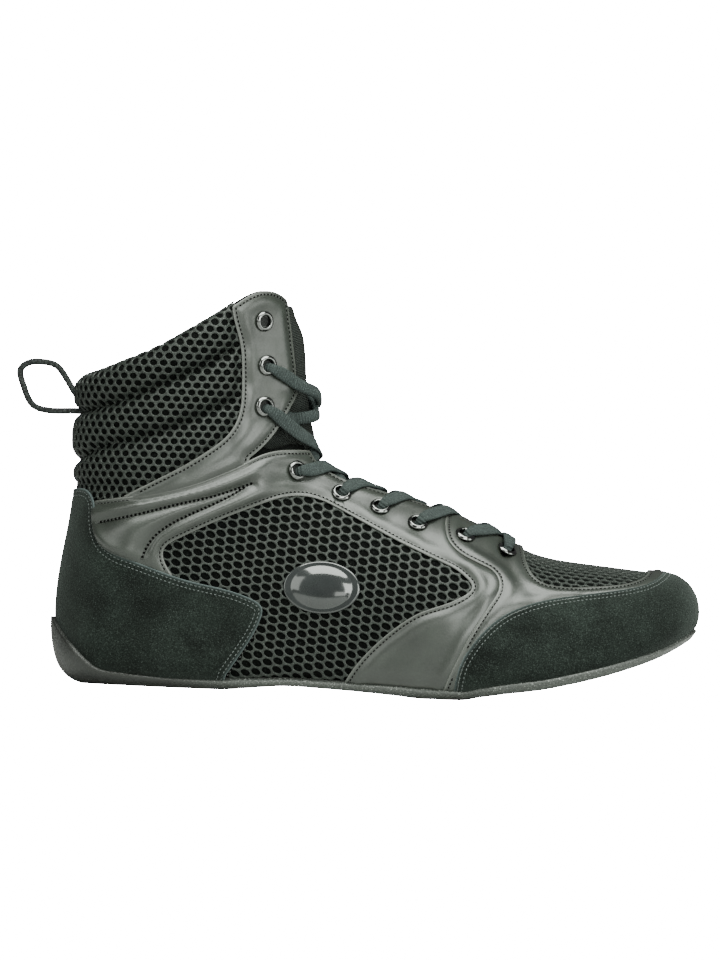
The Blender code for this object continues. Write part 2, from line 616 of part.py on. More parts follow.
def make_sole(where, cutters):
    """One moulded outsole: a thin bottom, a low edge all round and a cup up the back of the heel."""
    steps_wall, steps_bottom = 3, 4
    start_row = next(t for t in np.arange(0.5, 9, 0.01) if section(t)[0].y <= lip(section(t)[0].x))
    end_row = next(t for t in np.arange(21, 12, -0.01) if section(t)[0].y <= lip(section(t)[0].x))
    rows = [start_row, *[t for t in FOOT_ROWS if start_row + 0.05 < t < end_row - 0.05], end_row]

    def cup_half(t, side, outer):
        """Points from the lip down to the middle of the bottom."""
        top = share_at_height(t, lip)
        points, reach = half_loop(t, side, 0.0)
        span = float(np.interp(section_point(t, side, top).z, points[:, 2], reach))
        edge = LIP_THICKNESS if outer else 0.0

        def at(distance):
            share = distance / reach[-1]
            point = surface_point(t, side, share, 0.0, 0.0)
            depth = max(lip(point.x) - point.z, 0.0)
            slack = HEEL_SLACK * min(1.0, 4 * cup_rise(point.x / SHOE_LENGTH))
            offset = FIT_GAP + slack + edge + (WALL_FLARE * depth if outer else 0.0)
            return point + surface_normal(t, side, share, 0.0, 0.0) * offset

        def floor(point):
            return ground(point.x, point.y) if outer else bed(point.x)

        near, far = 0.0, span
        if at(0.0).z < floor(at(0.0)):
            for _ in range(24):
                middle = (near + far) / 2
                below = at(middle).z < floor(at(middle))
                near, far = (middle, far) if below else (near, middle)
        corner = near
        stations = [span - (span - corner) * k / steps_wall for k in range(steps_wall + 1)]
        stations += [corner * (1 - k / steps_bottom) for k in range(1, steps_bottom + 1)]
        found = [at(d) for d in stations]
        for k in range(steps_wall + 1, len(found) if corner > 0 else 0):
            found[k].z = floor(found[k])
        found[-1].y = section(t)[2]
        if corner > 0:
            found[steps_wall].z = floor(found[steps_wall])
        else:
            found[steps_wall:] = [found[-1].copy() for _ in found[steps_wall:]]
        return found

    bm = bmesh.new()
    layers = {}
    for outer in (True, False):
        grid = []
        for t in rows:
            lateral, medial = (cup_half(t, side, outer) for side in SIDES)
            grid.append([*lateral, *reversed(medial[:-1])])
        for end in (0, -1):
            middle = grid[end][len(grid[end]) // 2]
            grid[end] = [middle.copy() for _ in grid[end]]
        layers[outer] = lattice(bm, grid)
    for column in (0, -1):
        outside = [row[column] for row in layers[True]]
        inside = [row[column] for row in layers[False]]
        for k in range(len(outside) - 1):
            bm.faces.new((outside[k], outside[k + 1], inside[k + 1], inside[k]))
    close_up(bm)
    sole = object_from(bm, "outsole", "rubber", where)
    for number, share in enumerate(FLEX_GROOVES):
        boolean(sole, "DIFFERENCE", flex_groove(number, share * SHOE_LENGTH, cutters))
    return sole


def flex_groove(number, x, cutters):
    """A bar across the underside that cuts a shallow groove."""
    slope = math.atan2(ground(x + 0.004, 0) - ground(x - 0.004, 0), 0.008)
    bm = bmesh.new()
    bmesh.ops.create_cube(bm, size=1.0)
    obj = object_from(bm, f"flex_groove_{number + 1}", "foam", cutters)
    size = Vector((GROOVE_WIDTH, BALL_WIDTH * 0.84, 2 * GROOVE_DEPTH))
    for vert in obj.data.vertices:
        vert.co = vert.co * size
    obj.location = (x - HEEL_REST_SETBACK, 0, ground(x, 0))
    obj.rotation_euler = (0, -slope, 0)
    return helper(obj)


def make_upper(where, cutters, holes):
    """The hollow upper over the last, padded at the collar, open below and at the throat."""
    def outer(x, z):
        return ROLL_RISE * roll_share(x, z)

    def inner(x, z):
        return -WALL - COLLAR_PADDING * padding_share(x, z)

    obj = shell("upper", "mesh", where, outer, inner)
    boolean(obj, "DIFFERENCE", prism("notch_cutter", smooth_line(NOTCH), cutters))
    boolean(obj, "DIFFERENCE", holes)
    return obj


def lip_line(first, last, steps=10):
    """The top of the sole's lip between two shares of the length, with the gap above it."""
    shares = [first + (last - first) * (k / steps) for k in range(steps + 1)]
    return [(s * SHOE_LENGTH, lip(s * SHOE_LENGTH) + FIT_GAP) for s in shares]


def make_panels(where, cutters, holes):
    """Suede counter and toe cap, leather quarters, vamp facing and ankle flaps."""
    half_gap = FIT_GAP / 2
    counter = smooth_line(COUNTER_LINE)
    low_lip = lip_line(0.330, -0.06, 26)
    inside = [p for p in shifted(counter, -half_gap) if p[1] > lip(p[0]) + FIT_GAP]
    heel = [*inside, *[p for p in low_lip if p[0] < inside[-1][0]]]
    panel("heel_counter", "suede", heel, SIDES, where, cutters)

    cap = smooth_line(CAP_LINE)
    cap_edge = [p for p in shifted(cap, -half_gap) if p[1] > lip(p[0]) + FIT_GAP]
    front = [(1.06 * SHOE_LENGTH, 0.42 * SHAFT_HEIGHT)]
    toe_lip = [p for p in lip_line(1.06, 0.62, 16) if p[0] > cap_edge[0][0]]
    panel("toe_cap", "suede", [*cap_edge, *front, *toe_lip], SIDES, where, cutters)

    rear = smooth_line(VAMP_REAR)
    above_lip = [p for p in shifted(rear, half_gap) if p[1] > lip(p[0]) + FIT_GAP]
    cap_side = [p for p in shifted(cap, half_gap) if p[1] > lip(p[0]) + FIT_GAP]
    strip_lip = [(s, lip(s) + FIT_GAP) for s in (above_lip[-1][0] + 0.0005, cap_side[0][0] - 0.0005)]
    facing = [*above_lip, *strip_lip, *cap_side]
    panel("vamp_facing", "leather", facing, SIDES, where, cutters, smooth_line(VAMP_WINDOW), holes)

    top = shifted(smooth_line(QUARTER_TOP), -half_gap)
    front_edge = [p for p in shifted(rear, -half_gap)
                  if lip(p[0]) + FIT_GAP < p[1] < 0.56 * SHAFT_HEIGHT]
    counter_side = [p for p in shifted(counter, half_gap)
                    if lip(p[0]) + FIT_GAP < p[1] < 0.45 * SHAFT_HEIGHT]
    quarter_lip = [p for p in lip_line(0.62, 0.25, 14) if counter_side[-1][0] < p[0] < front_edge[-1][0]]
    corner = (0.605 * SHOE_LENGTH, 0.604 * SHAFT_HEIGHT)
    quarter = [*top, corner, *front_edge, *quarter_lip, *reversed(counter_side)]
    window = smooth_line(WINDOW)
    below = [(0.445 * SHOE_LENGTH, -0.02), (0.240 * SHOE_LENGTH, -0.02),
             (0.240 * SHOE_LENGTH, 0.20 * SHAFT_HEIGHT)]
    windows = [*window, *below]

    flap_top = [(x * SHOE_LENGTH, z * SHAFT_HEIGHT)
                for x, z in ((0.420, 0.780), (0.420, 1.06), (0.257, 1.06))]
    flap_seat = [p for p in shifted(smooth_line(QUARTER_TOP), half_gap)
                 if 0.115 < p[0] / SHOE_LENGTH < 0.292]
    flap = [*smooth_line(FLAP_REAR), *flap_seat, *reversed(smooth_line(FLAP_LOW)), *flap_top]
    for side in SIDES:
        name = SIDE_NAMES[side]
        panel(f"quarter_{name}", "leather", quarter, (side,), where, cutters, windows, holes)
        panel(f"ankle_flap_{name}", "leather", flap, (side,), where, cutters, None, holes)


def make_badge(where, cutters):
    """A plain padded oval on the outer side."""
    thick = FIT_GAP + BADGE_THICKNESS
    obj = shell("side_badge", "gloss", where, lambda x, z: thick, lambda x, z: FIT_GAP, (-1,))
    x, z = BADGE_CENTRE[0] * SHOE_LENGTH, BADGE_CENTRE[1] * SHAFT_HEIGHT
    turns = [2 * math.pi * k / 16 for k in range(16)]
    oval = [(x + BADGE_LENGTH / 2 * math.cos(a), z + BADGE_HEIGHT / 2 * math.sin(a)) for a in turns]
    boolean(obj, "INTERSECT", prism("badge_outline", oval, cutters))
    return obj


def tongue_offset(t, share):
    """How far the tongue's top lies from the surface. Share is 0 at its middle, 1 at the throat."""
    under = -(WALL + TONGUE_CLEARANCE)
    rise = min(max((t - 8.6) / 4.0, 0.0), 1.0)
    return under + rise * (TONGUE_CROWN - under) * max(0.0, 1 - share * share)


def make_tongue(where):
    """A padded tongue under the facings, crowned up between them."""
    rows = [7.6, 8.4, 9.2, 10, 11, 12, 13, 14, 15, 16, 17, 18, 19.5, 21, 22.5, 24, 24.8]
    shares = [-2.1, -1.5, -1.0, -0.5, 0.0, 0.5, 1.0, 1.5, 2.1]
    bm = bmesh.new()
    grid = []
    for t in rows:
        gap = THROAT_HALF_GAP * min(1.0, 0.72 + 0.28 * (t - rows[0]) / 4)
        row = []
        for share in shares:
            side = -1 if share < 0 else 1
            reach = half_loop(t, side, foot_start(t))[1][-1]
            along = 1 - abs(share) * gap / reach
            row.append(skin(t, side, along, tongue_offset(t, share), None, 0.0))
        grid.append(row)
    lattice(bm, grid)
    bmesh.ops.recalc_face_normals(bm, faces=bm.faces)
    obj = object_from(bm, "tongue", "mesh", where)
    outward = sum((p.normal.x for p in obj.data.polygons), 0.0) > 0
    return solidify(obj, TONGUE_THICKNESS, -1 if outward else 1)


def wall_inside(t, side, rise):
    """Point on the inside of the upper's wall, clear of it, at a rise over the sole's inside."""
    offset = -(WALL + INSOLE_CLEARANCE)
    near, far = 0.0, 0.5
    for _ in range(16):
        middle = (near + far) / 2
        point = skin(t, side, middle, offset)
        near, far = (middle, far) if point.z < bed(point.x) + rise else (near, middle)
    return skin(t, side, near, offset) - Vector((0, side * INSOLE_EDGE_MARGIN, 0))


def make_insole(where):
    """A removable footbed inside the upper's wall."""
    count, across = 18, 4
    outlines = []
    for rise in (INSOLE_RISE + INSOLE_THICKNESS, 0.0):
        outline = {}
        for side in SIDES:
            places = sorted(wall_inside(t, side, rise)[:2] for t in np.arange(2.4, 17, 0.15))
            outline[side] = np.array(places).T
        outlines.append(outline)
    first = max(xs[0] for outline in outlines for xs, _ in outline.values()) + 0.005
    last = min(xs[-1] for outline in outlines for xs, _ in outline.values()) - 0.003
    bm = bmesh.new()
    layers = []
    for outline, rise in zip(outlines, (INSOLE_THICKNESS, 0.0)):
        grid = []
        for k in range(count + 1):
            x = first + (last - first) * (1 - math.cos(math.pi * k / count)) / 2
            outer, inner = (side * max(side * float(np.interp(x, *outline[side])), INSOLE_LEAST)
                            for side in SIDES)
            ys = [outer + (inner - outer) * j / across for j in range(across + 1)]
            grid.append([Vector((x, y, bed(x) + INSOLE_RISE + rise)) for y in ys])
        layers.append(lattice(bm, grid))
    top, bottom = layers
    for row in (0, -1):
        bridge(bm, top[row], bottom[row])
    for column in (0, -1):
        bridge(bm, [row[column] for row in top], [row[column] for row in bottom])
    close_up(bm)
    return object_from(bm, "insole", "foam", where)


def make_eyelets(where, hole_cutters):
    """Turned metal rings, nine a side, each with a barrel through the panel and the wall."""
    sides = 8
    flange_floor = PANEL + 3 * FIT_GAP
    depth = WALL + FIT_GAP
    outer = EYELET_HOLE_RADIUS + EYELET_BARREL
    profile = [(EYELET_HOLE_RADIUS, -depth), (outer, -depth), (outer, flange_floor),
               (EYELET_FLANGE_RADIUS, flange_floor),
               (EYELET_FLANGE_RADIUS * 0.9, flange_floor + EYELET_FLANGE),
               (EYELET_HOLE_RADIUS, flange_floor + EYELET_FLANGE)]
    for side in SIDES:
        for number, mark in enumerate(EYELETS):
            point, normal = seat(side, mark)[:2]
            place, turn = placed(point), normal.to_track_quat("Z", "Y")
            name = f"{SIDE_NAMES[side]}_{number + 1}"
            bm = bmesh.new()
            verts = [bm.verts.new((r, 0, z)) for r, z in profile]
            edges = [bm.edges.new((a, b)) for a, b in zip(verts, verts[1:] + verts[:1])]
            bmesh.ops.spin(bm, geom=verts + edges, cent=(0, 0, 0), axis=(0, 0, 1), angle=2 * math.pi,
                           steps=sides, use_merge=True)
            bmesh.ops.recalc_face_normals(bm, faces=bm.faces)
            ring = object_from(bm, "eyelet_" + name, "metal", where)
            hole = bmesh.new()
            bmesh.ops.create_cone(hole, cap_ends=True, segments=sides, radius1=outer + 3 * FIT_GAP,
                                  radius2=outer + 3 * FIT_GAP, depth=0.014)
            cutter = helper(object_from(hole, "hole_" + name, "foam", hole_cutters))
            for obj in (ring, cutter):
                obj.rotation_mode = "QUATERNION"
                obj.location, obj.rotation_quaternion = place, turn


def lace_point(t, across, side, offset):
    """Point and normal over the throat, at an arc length from the ridge toward the given side."""
    hand = side if across >= 0 else -side
    along = 1 - abs(across) / half_loop(t, hand, foot_start(t))[1][-1]
    return skin(t, hand, along, offset, None, 0.0), surface_normal(t, hand, along, None, 0.0)


def hole_reach(side, mark):
    """Section of an eyelet, and the arc length from the ridge to the near edge of its hole."""
    t, along = seat(side, mark)[2:]
    reach = half_loop(t, side, foot_start(t))[1][-1]
    return t, reach - along * (reach - throat_gap(t)) - EYELET_HOLE_RADIUS


def lace_strand(side, from_mark, to_mark):
    """Path of a flat lace from an eyelet over its facing's edge, ending short of the far facing's edge."""
    t_from, start = hole_reach(side, from_mark)
    t_to = t_from + 0.68 * (seat(-side, to_mark)[2] - t_from)
    end = LACE_WIDTH / 2 - throat_gap(t_to)
    loose = LACE_SLACK if from_mark == EYELETS[1] else 0.0
    path = []
    for k in range(8):
        u = k / 7
        offset = LACE_HEIGHT - 0.4 * max(0.0, u - 0.5) * LACE_THICKNESS + loose * math.sin(math.pi * u) ** 2
        path.append(lace_point(t_from + (t_to - t_from) * u, start + (end - start) * u, side, offset))
    return path


def sweep_band(path, width, thickness):
    """A closed band with a flat section, carried along (point, normal) pairs."""
    bm = bmesh.new()
    rings = []
    for k, (point, normal) in enumerate(path):
        ahead, behind = path[min(k + 1, len(path) - 1)][0], path[max(k - 1, 0)][0]
        run = (ahead - behind).normalized()
        across = run.cross(normal).normalized()
        up = across.cross(run).normalized()
        corners = ((-1, -1), (1, -1), (1, 1), (-1, 1))
        rings.append([bm.verts.new(placed(point + across * a * width / 2 + up * b * thickness / 2))
                      for a, b in corners])
    for one, two in zip(rings[:-1], rings[1:]):
        for k in range(4):
            bm.faces.new((one[k], one[(k + 1) % 4], two[(k + 1) % 4], two[k]))
    bm.faces.new(rings[0])
    bm.faces.new(rings[-1])
    bmesh.ops.recalc_face_normals(bm, faces=bm.faces)
    return bm


def make_laces(where, cutters):
    """A straight bar at the vamp and seven crossings above it."""
    t, start = hole_reach(-1, EYELETS[-1])
    bar = [lace_point(t, start * (1 - 2 * k / 7), -1, LACE_HEIGHT) for k in range(8)]
    object_from(sweep_band(bar, LACE_WIDTH, LACE_THICKNESS), "lace_bar", "lace", where)
    for number in range(1, len(EYELETS) - 1):
        one, two = (sweep_band(lace_strand(side, EYELETS[number], EYELETS[number + 1]), LACE_WIDTH,
                               LACE_THICKNESS) for side in SIDES)
        obj = object_from(one, f"lace_cross_{number}", "lace", where)
        other = object_from(two, f"lace_strand_{number}", "lace", cutters)
        boolean(obj, "UNION", helper(other))


def make_pull_loop(where):
    """A webbing loop sewn into the first groove at the back of the collar."""
    line = smooth_line(PULL_LOOP)
    bm = bmesh.new()
    lattice(bm, [[Vector((x, y, z)) for y in (-LOOP_WIDTH / 2, LOOP_WIDTH / 2)] for x, z in line])
    return solidify(object_from(bm, "pull_loop", "webbing", where), LOOP_THICKNESS, 0)


def main():
    clear_scene()
    shoe = collection("wrestling_shoe")
    cutters = collection("cutters", hidden=True)
    hole_cutters = collection("eyelet_holes", hidden=True)
    make_eyelets(shoe, hole_cutters)
    make_sole(shoe, cutters)
    make_upper(shoe, cutters, hole_cutters)
    make_panels(shoe, cutters, hole_cutters)
    make_tongue(shoe)
    make_insole(shoe)
    make_badge(shoe, cutters)
    make_laces(shoe, cutters)
    make_pull_loop(shoe)


main()
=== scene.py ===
import math

import bmesh
import bpy
import numpy as np
from mathutils import Matrix, Vector
from mathutils.bvhtree import BVHTree
from mathutils.geometry import delaunay_2d_cdt
from mathutils.kdtree import KDTree


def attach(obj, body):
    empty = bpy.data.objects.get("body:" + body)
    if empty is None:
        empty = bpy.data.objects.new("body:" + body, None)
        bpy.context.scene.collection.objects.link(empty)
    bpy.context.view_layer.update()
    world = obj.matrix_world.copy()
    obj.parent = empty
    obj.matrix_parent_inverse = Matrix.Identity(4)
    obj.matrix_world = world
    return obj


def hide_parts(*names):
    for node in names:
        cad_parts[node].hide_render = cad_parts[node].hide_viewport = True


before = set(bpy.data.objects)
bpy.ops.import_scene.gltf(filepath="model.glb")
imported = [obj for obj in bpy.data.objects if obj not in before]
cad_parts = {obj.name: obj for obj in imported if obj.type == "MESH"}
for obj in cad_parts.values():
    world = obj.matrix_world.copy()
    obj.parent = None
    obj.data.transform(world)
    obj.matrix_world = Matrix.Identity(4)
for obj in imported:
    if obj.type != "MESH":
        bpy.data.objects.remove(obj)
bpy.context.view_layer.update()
MM = 0.001

# The padded shell
# A knitted backing over foam with a textile lining, sewn over a last. The collar is padded in
# three rolls. Every other piece of the upper is laid on its outside, so the last is drawn here.
SHOE_LENGTH = 0.287
SHAFT_HEIGHT = 0.1773
BALL_WIDTH = 0.094
HEEL_REST_SETBACK = 0.048
TOE_SPRING = 0.033
ARCH_LIFT = 0.0028
HEEL_CUP_HEIGHT = 0.031
EDGE_BAND = 0.0040
LIP_RISE = 0.0010
WALL = 0.0020
COLLAR_PADDING = 0.0042
ROLL_RISE = 0.0034
SHELL_CLEARANCE = 0.0014
THROAT_HALF_GAP = 0.0130
THROAT_END_RADIUS = 0.012
THROAT_ROW = 8.2
SIDES = (-1, 1)
SIDE_NAMES = {-1: "outer", 1: "inner"}
COLUMNS = ("sole_x", "sole_z", "ridge_x", "ridge_z", "centre", "half", "ridge_y", "widest", "low", "top")
LAST = (
    (0.9948, 0.2369, 0.9948, 0.2403, 0.096, 0.000, 0.096, 0.46, 2.0, 2.0),
    (0.9927, 0.2177, 0.9930, 0.2606, 0.096, 0.096, 0.096, 0.46, 2.0, 2.0),
    (0.9861, 0.1963, 0.9878, 0.2837, 0.094, 0.181, 0.094, 0.44, 2.0, 2.0),
    (0.9721, 0.1709, 0.9756, 0.3080, 0.087, 0.266, 0.089, 0.40, 2.2, 2.0),
    (0.9477, 0.1421, 0.9512, 0.3271, 0.074, 0.346, 0.083, 0.36, 2.6, 2.1),
    (0.9094, 0.1089, 0.9129, 0.3339, 0.055, 0.410, 0.074, 0.32, 3.2, 2.15),
    (0.8571, 0.0767, 0.8571, 0.3418, 0.034, 0.457, 0.066, 0.28, 3.8, 2.15),
    (0.7944, 0.0485, 0.7944, 0.3508, 0.013, 0.489, 0.060, 0.26, 4.2, 2.1),
    (0.7317, 0.0305, 0.7317, 0.3723, -0.003, 0.500, 0.055, 0.25, 4.5, 2.1),
    (0.6690, 0.0192, 0.6690, 0.4241, -0.019, 0.493, 0.053, 0.24, 4.7, 2.1),
    (0.5993, 0.0113, 0.5993, 0.4704, -0.037, 0.463, 0.051, 0.22, 4.9, 2.15),
    (0.5226, 0.0135, 0.5261, 0.5076, -0.048, 0.413, 0.047, 0.20, 5.0, 2.2),
    (0.4390, 0.0209, 0.4599, 0.5415, -0.045, 0.365, 0.040, 0.20, 5.0, 2.2),
    (0.3484, 0.0237, 0.4216, 0.5697, -0.032, 0.340, 0.032, 0.20, 5.0, 2.25),
    (0.2578, 0.0147, 0.4007, 0.5950, -0.017, 0.340, 0.023, 0.20, 5.0, 2.35),
    (0.1672, 0.0113, 0.3878, 0.6289, -0.006, 0.349, 0.016, 0.22, 5.0, 2.45),
    (0.0906, 0.0158, 0.3784, 0.6712, 0.000, 0.351, 0.011, 0.25, 4.3, 2.5),
    (0.0401, 0.0350, 0.3728, 0.7163, 0.000, 0.351, 0.006, 0.27, 3.4, 2.5),
    (0.0195, 0.0846, 0.3693, 0.7558, 0.000, 0.352, 0.003, 0.29, 2.4, 2.5),
    (0.0111, 0.1551, 0.3669, 0.7924, 0.000, 0.352, 0.000, 0.31, 1.95, 2.45),
    (0.0111, 0.2369, 0.3652, 0.8263, 0.000, 0.348, 0.000, 0.33, 1.85, 2.4),
    (0.0174, 0.3215, 0.3631, 0.8573, 0.000, 0.340, 0.000, 0.35, 1.85, 2.35),
    (0.0254, 0.4061, 0.3603, 0.8883, 0.000, 0.336, 0.000, 0.38, 1.85, 2.3),
    (0.0303, 0.4907, 0.3575, 0.9165, 0.000, 0.336, 0.000, 0.41, 1.85, 2.25),
    (0.0314, 0.5809, 0.3540, 0.9447, 0.000, 0.341, 0.000, 0.43, 1.85, 2.2),
    (0.0314, 0.6712, 0.3495, 0.9757, 0.000, 0.349, 0.000, 0.45, 1.85, 2.2),
    (0.0321, 0.7614, 0.3432, 1.0096, 0.000, 0.356, 0.000, 0.46, 1.85, 2.2),
    (0.0331, 0.8517, 0.3362, 1.0491, 0.000, 0.362, 0.000, 0.47, 1.85, 2.2),
)
COLLAR_LINE = ((-0.05, 0.752), (0.030, 0.771), (0.087, 0.805), (0.148, 0.849), (0.208, 0.906),
               (0.257, 0.957), (0.284, 0.988), (0.305, 1.000), (0.330, 0.990), (0.345, 0.965),
               (0.355, 0.930), (0.375, 0.880))
GROOVE_1 = ((0.0, 0.664), (0.031, 0.678), (0.089, 0.707), (0.150, 0.752), (0.211, 0.801), (0.267, 0.855),
            (0.300, 0.880))
GROOVE_2 = ((0.0, 0.545), (0.030, 0.557), (0.061, 0.590), (0.123, 0.621), (0.184, 0.658), (0.245, 0.708),
            (0.300, 0.755))
FLAP_REAR = ((0.257, 0.985), (0.257, 0.957), (0.272, 0.863), (0.277, 0.775), (0.275, 0.687), (0.262, 0.641),
             (0.232, 0.596), (0.194, 0.554), (0.141, 0.505), (0.105, 0.471))
QUARTER_TOP = ((0.063, 0.457), (0.105, 0.469), (0.142, 0.480), (0.188, 0.499), (0.219, 0.516), (0.249, 0.537),
               (0.284, 0.565), (0.307, 0.586), (0.333, 0.600), (0.356, 0.604), (0.385, 0.604), (0.430, 0.604))
NOTCH = ((0.372, 0.760), (0.348, 0.694), (0.325, 0.640), (0.314, 0.614), (0.326, 0.606), (0.352, 0.618),
         (0.380, 0.620), (0.440, 0.620), (0.440, 0.760))
COUNTER_TOP = 0.484
TOE_RISE = ((-0.2, 0.0), (0.575, 0.0), (0.632, 0.0), (0.666, 0.055), (0.697, 0.103), (0.7585, 0.188),
            (0.790, 0.250), (0.850, 0.390), (0.912, 0.575), (0.943, 0.690), (0.973, 0.835), (0.990, 0.930),
            (1.010, 1.060))
ARCH = ((-0.2, 0.0), (0.262, 0.0), (0.310, 0.45), (0.363, 1.0), (0.420, 0.9), (0.480, 0.65), (0.540, 0.28),
        (0.575, 0.0), (1.01, 0.0))
CUP_RISE = ((-0.02, 1.02), (0.0056, 0.99), (0.011, 0.84), (0.0275, 0.57), (0.044, 0.38), (0.060, 0.225),
            (0.076, 0.115), (0.115, 0.05), (0.154, 0.02), (0.200, 0.0), (1.01, 0.0))


def natural_spline(xs, ys):
    """A cubic spline through the points, with no bending at its ends."""
    xs, ys = np.asarray(xs, float), np.asarray(ys, float)
    step, slope = np.diff(xs), np.diff(ys) / np.diff(xs)
    count = len(xs)
    matrix, target = np.eye(count), np.zeros(count)
    for i in range(1, count - 1):
        matrix[i, i - 1:i + 2] = step[i - 1], 2 * (step[i - 1] + step[i]), step[i]
        target[i] = 6 * (slope[i] - slope[i - 1])
    bend = np.linalg.solve(matrix, target)

    def at(x):
        i = np.clip(np.searchsorted(xs, x) - 1, 0, count - 2)
        a, b = (xs[i + 1] - x) / step[i], (x - xs[i]) / step[i]
        cubic = ((a ** 3 - a) * bend[i] + (b ** 3 - b) * bend[i + 1]) * step[i] ** 2 / 6
        return a * ys[i] + b * ys[i + 1] + cubic

    return at


def steady_curve(points):
    """A smooth curve through the points that never overshoots them."""
    xs, ys = np.array(points, float).T
    slope = np.diff(ys) / np.diff(xs)
    tangent = np.concatenate([[slope[0]], (slope[1:] + slope[:-1]) / 2, [slope[-1]]])
    for i, rise in enumerate(slope):
        if rise == 0:
            tangent[i] = tangent[i + 1] = 0
            continue
        reach = math.hypot(tangent[i] / rise, tangent[i + 1] / rise)
        if reach > 3:
            tangent[i] *= 3 / reach
            tangent[i + 1] *= 3 / reach

    def at(x):
        x = np.asarray(x, float)
        i = np.clip(np.searchsorted(xs, x) - 1, 0, len(xs) - 2)
        h = xs[i + 1] - xs[i]
        u = np.clip((x - xs[i]) / h, 0.0, 1.0)
        return ((1 + 2 * u) * (1 - u) ** 2 * ys[i] + u * (1 - u) ** 2 * h * tangent[i]
                + u * u * (3 - 2 * u) * ys[i + 1] + u * u * (u - 1) * h * tangent[i + 1])

    return at


SECTION = {name: natural_spline(range(len(LAST)), [row[i] for row in LAST]) for i, name in enumerate(COLUMNS)}
toe_rise, arch_share, cup_rise = steady_curve(TOE_RISE), steady_curve(ARCH), steady_curve(CUP_RISE)
collar_height, groove_1, groove_2 = steady_curve(COLLAR_LINE), steady_curve(GROOVE_1), steady_curve(GROOVE_2)
quarter_top = steady_curve(QUARTER_TOP)
flap_rear_at = steady_curve([(z, x) for x, z in reversed(FLAP_REAR)])


def unit(vectors):
    """The vectors at length 1."""
    return vectors / np.maximum(np.linalg.norm(vectors, axis=-1, keepdims=True), 1e-12)


def travel(points):
    """Distance along a line of points, from its first one."""
    return np.concatenate([[0], np.cumsum(np.linalg.norm(np.diff(points, axis=0), axis=1))])


def in_view(shares):
    """Side-view places in metres, from shares of the shoe's length and the shaft's height."""
    return np.array(shares) * (SHOE_LENGTH, SHAFT_HEIGHT) - (HEEL_REST_SETBACK, 0)


def quads_of(index, closed=False):
    """Faces between the rows of a grid of point numbers, joined round where it is closed."""
    here, after = (index, np.roll(index, -1, axis=1)) if closed else (index[:, :-1], index[:, 1:])
    return np.stack([here[:-1], after[:-1], after[1:], here[1:]], -1).reshape(-1, 4)


def drop_unused(flat, tris):
    """The points that triangles use, and the triangles numbered anew."""
    used, numbers = np.unique(tris, return_inverse=True)
    return flat[used], numbers.reshape(tris.shape)


def ease(value):
    """A smooth step from 0 to 1."""
    u = np.clip(value, 0.0, 1.0)
    return u * u * (3 - 2 * u)


def length_share(x):
    return (x + HEEL_REST_SETBACK) / SHOE_LENGTH


def base_rise(x):
    """Height of the sole's plan line over the floor."""
    return TOE_SPRING * toe_rise(length_share(x)) + ARCH_LIFT * arch_share(length_share(x)) / 2


def ground(x, y):
    """Height of the sole's underside. The waist is lifted more on the inner side."""
    inner = 1.4 + 0.4 * np.clip(y / (BALL_WIDTH / 3), -1, 1)
    return TOE_SPRING * toe_rise(length_share(x)) + ARCH_LIFT * arch_share(length_share(x)) * inner


def bed(x):
    return base_rise(x) + EDGE_BAND - LIP_RISE


def lip(x):
    """Height of the sole's top edge on the outside of the upper."""
    return base_rise(x) + EDGE_BAND + (HEEL_CUP_HEIGHT - EDGE_BAND) * cup_rise(length_share(x))


def last_points(side, t, angle):
    """Points of the last in section t. The angle runs from 0 at the bottom or back to pi at the ridge."""
    t, angle = np.broadcast_arrays(np.asarray(t, float), np.asarray(angle, float))
    row = {name: SECTION[name](t) for name in COLUMNS}
    cosine, sine = np.cos(angle), np.abs(np.sin(angle))
    low_share = row["widest"] * (1 - np.abs(cosine) ** (2 / row["low"]))
    top_share = row["widest"] + (1 - row["widest"]) * np.abs(cosine) ** (2 / row["top"])
    share = np.where(cosine > 0, low_share, top_share)
    width = np.where(cosine > 0, sine ** (2 / row["low"]), sine ** (2 / row["top"]))
    x = row["sole_x"] + share * (row["ridge_x"] - row["sole_x"])
    z = row["sole_z"] + share * (row["ridge_z"] - row["sole_z"])
    middle = row["centre"] + (row["ridge_y"] - row["centre"]) * share ** 2
    y = middle + side * np.maximum(row["half"], 0) * width
    return np.stack([x * SHOE_LENGTH - HEEL_REST_SETBACK, y * BALL_WIDTH, z * SHAFT_HEIGHT], -1)


ROWS = np.linspace(0.03, 26.97, 540)
fine = np.linspace(0, math.pi, 4001)
even = np.hypot(np.diff(np.abs(np.sin(fine)) ** 0.74), np.diff(np.abs(np.cos(fine)) ** 0.74))
even = np.concatenate([[0], np.cumsum(even)])
TURNS = np.interp(np.linspace(0, even[-1], 129), even, fine)
LAST_POINTS, LAST_NORMALS, LAST_REACH = {}, {}, {}
for side in SIDES:
    points = last_points(side, ROWS[:, None], TURNS[None, :])
    across, along = np.gradient(points, axis=1), np.gradient(points, axis=0)
    LAST_POINTS[side], LAST_NORMALS[side] = points, unit(np.cross(along, across) * side)
    gaps = np.linalg.norm(np.diff(points, axis=1), axis=2)
    LAST_REACH[side] = np.concatenate([np.zeros((len(ROWS), 1)), np.cumsum(gaps, axis=1)], axis=1)
for column in (0, -1):
    shared = LAST_NORMALS[-1][:, column] + LAST_NORMALS[1][:, column]
    shared[:, 1] *= 0.5
    for side in SIDES:
        LAST_NORMALS[side][:, column] = unit(shared)


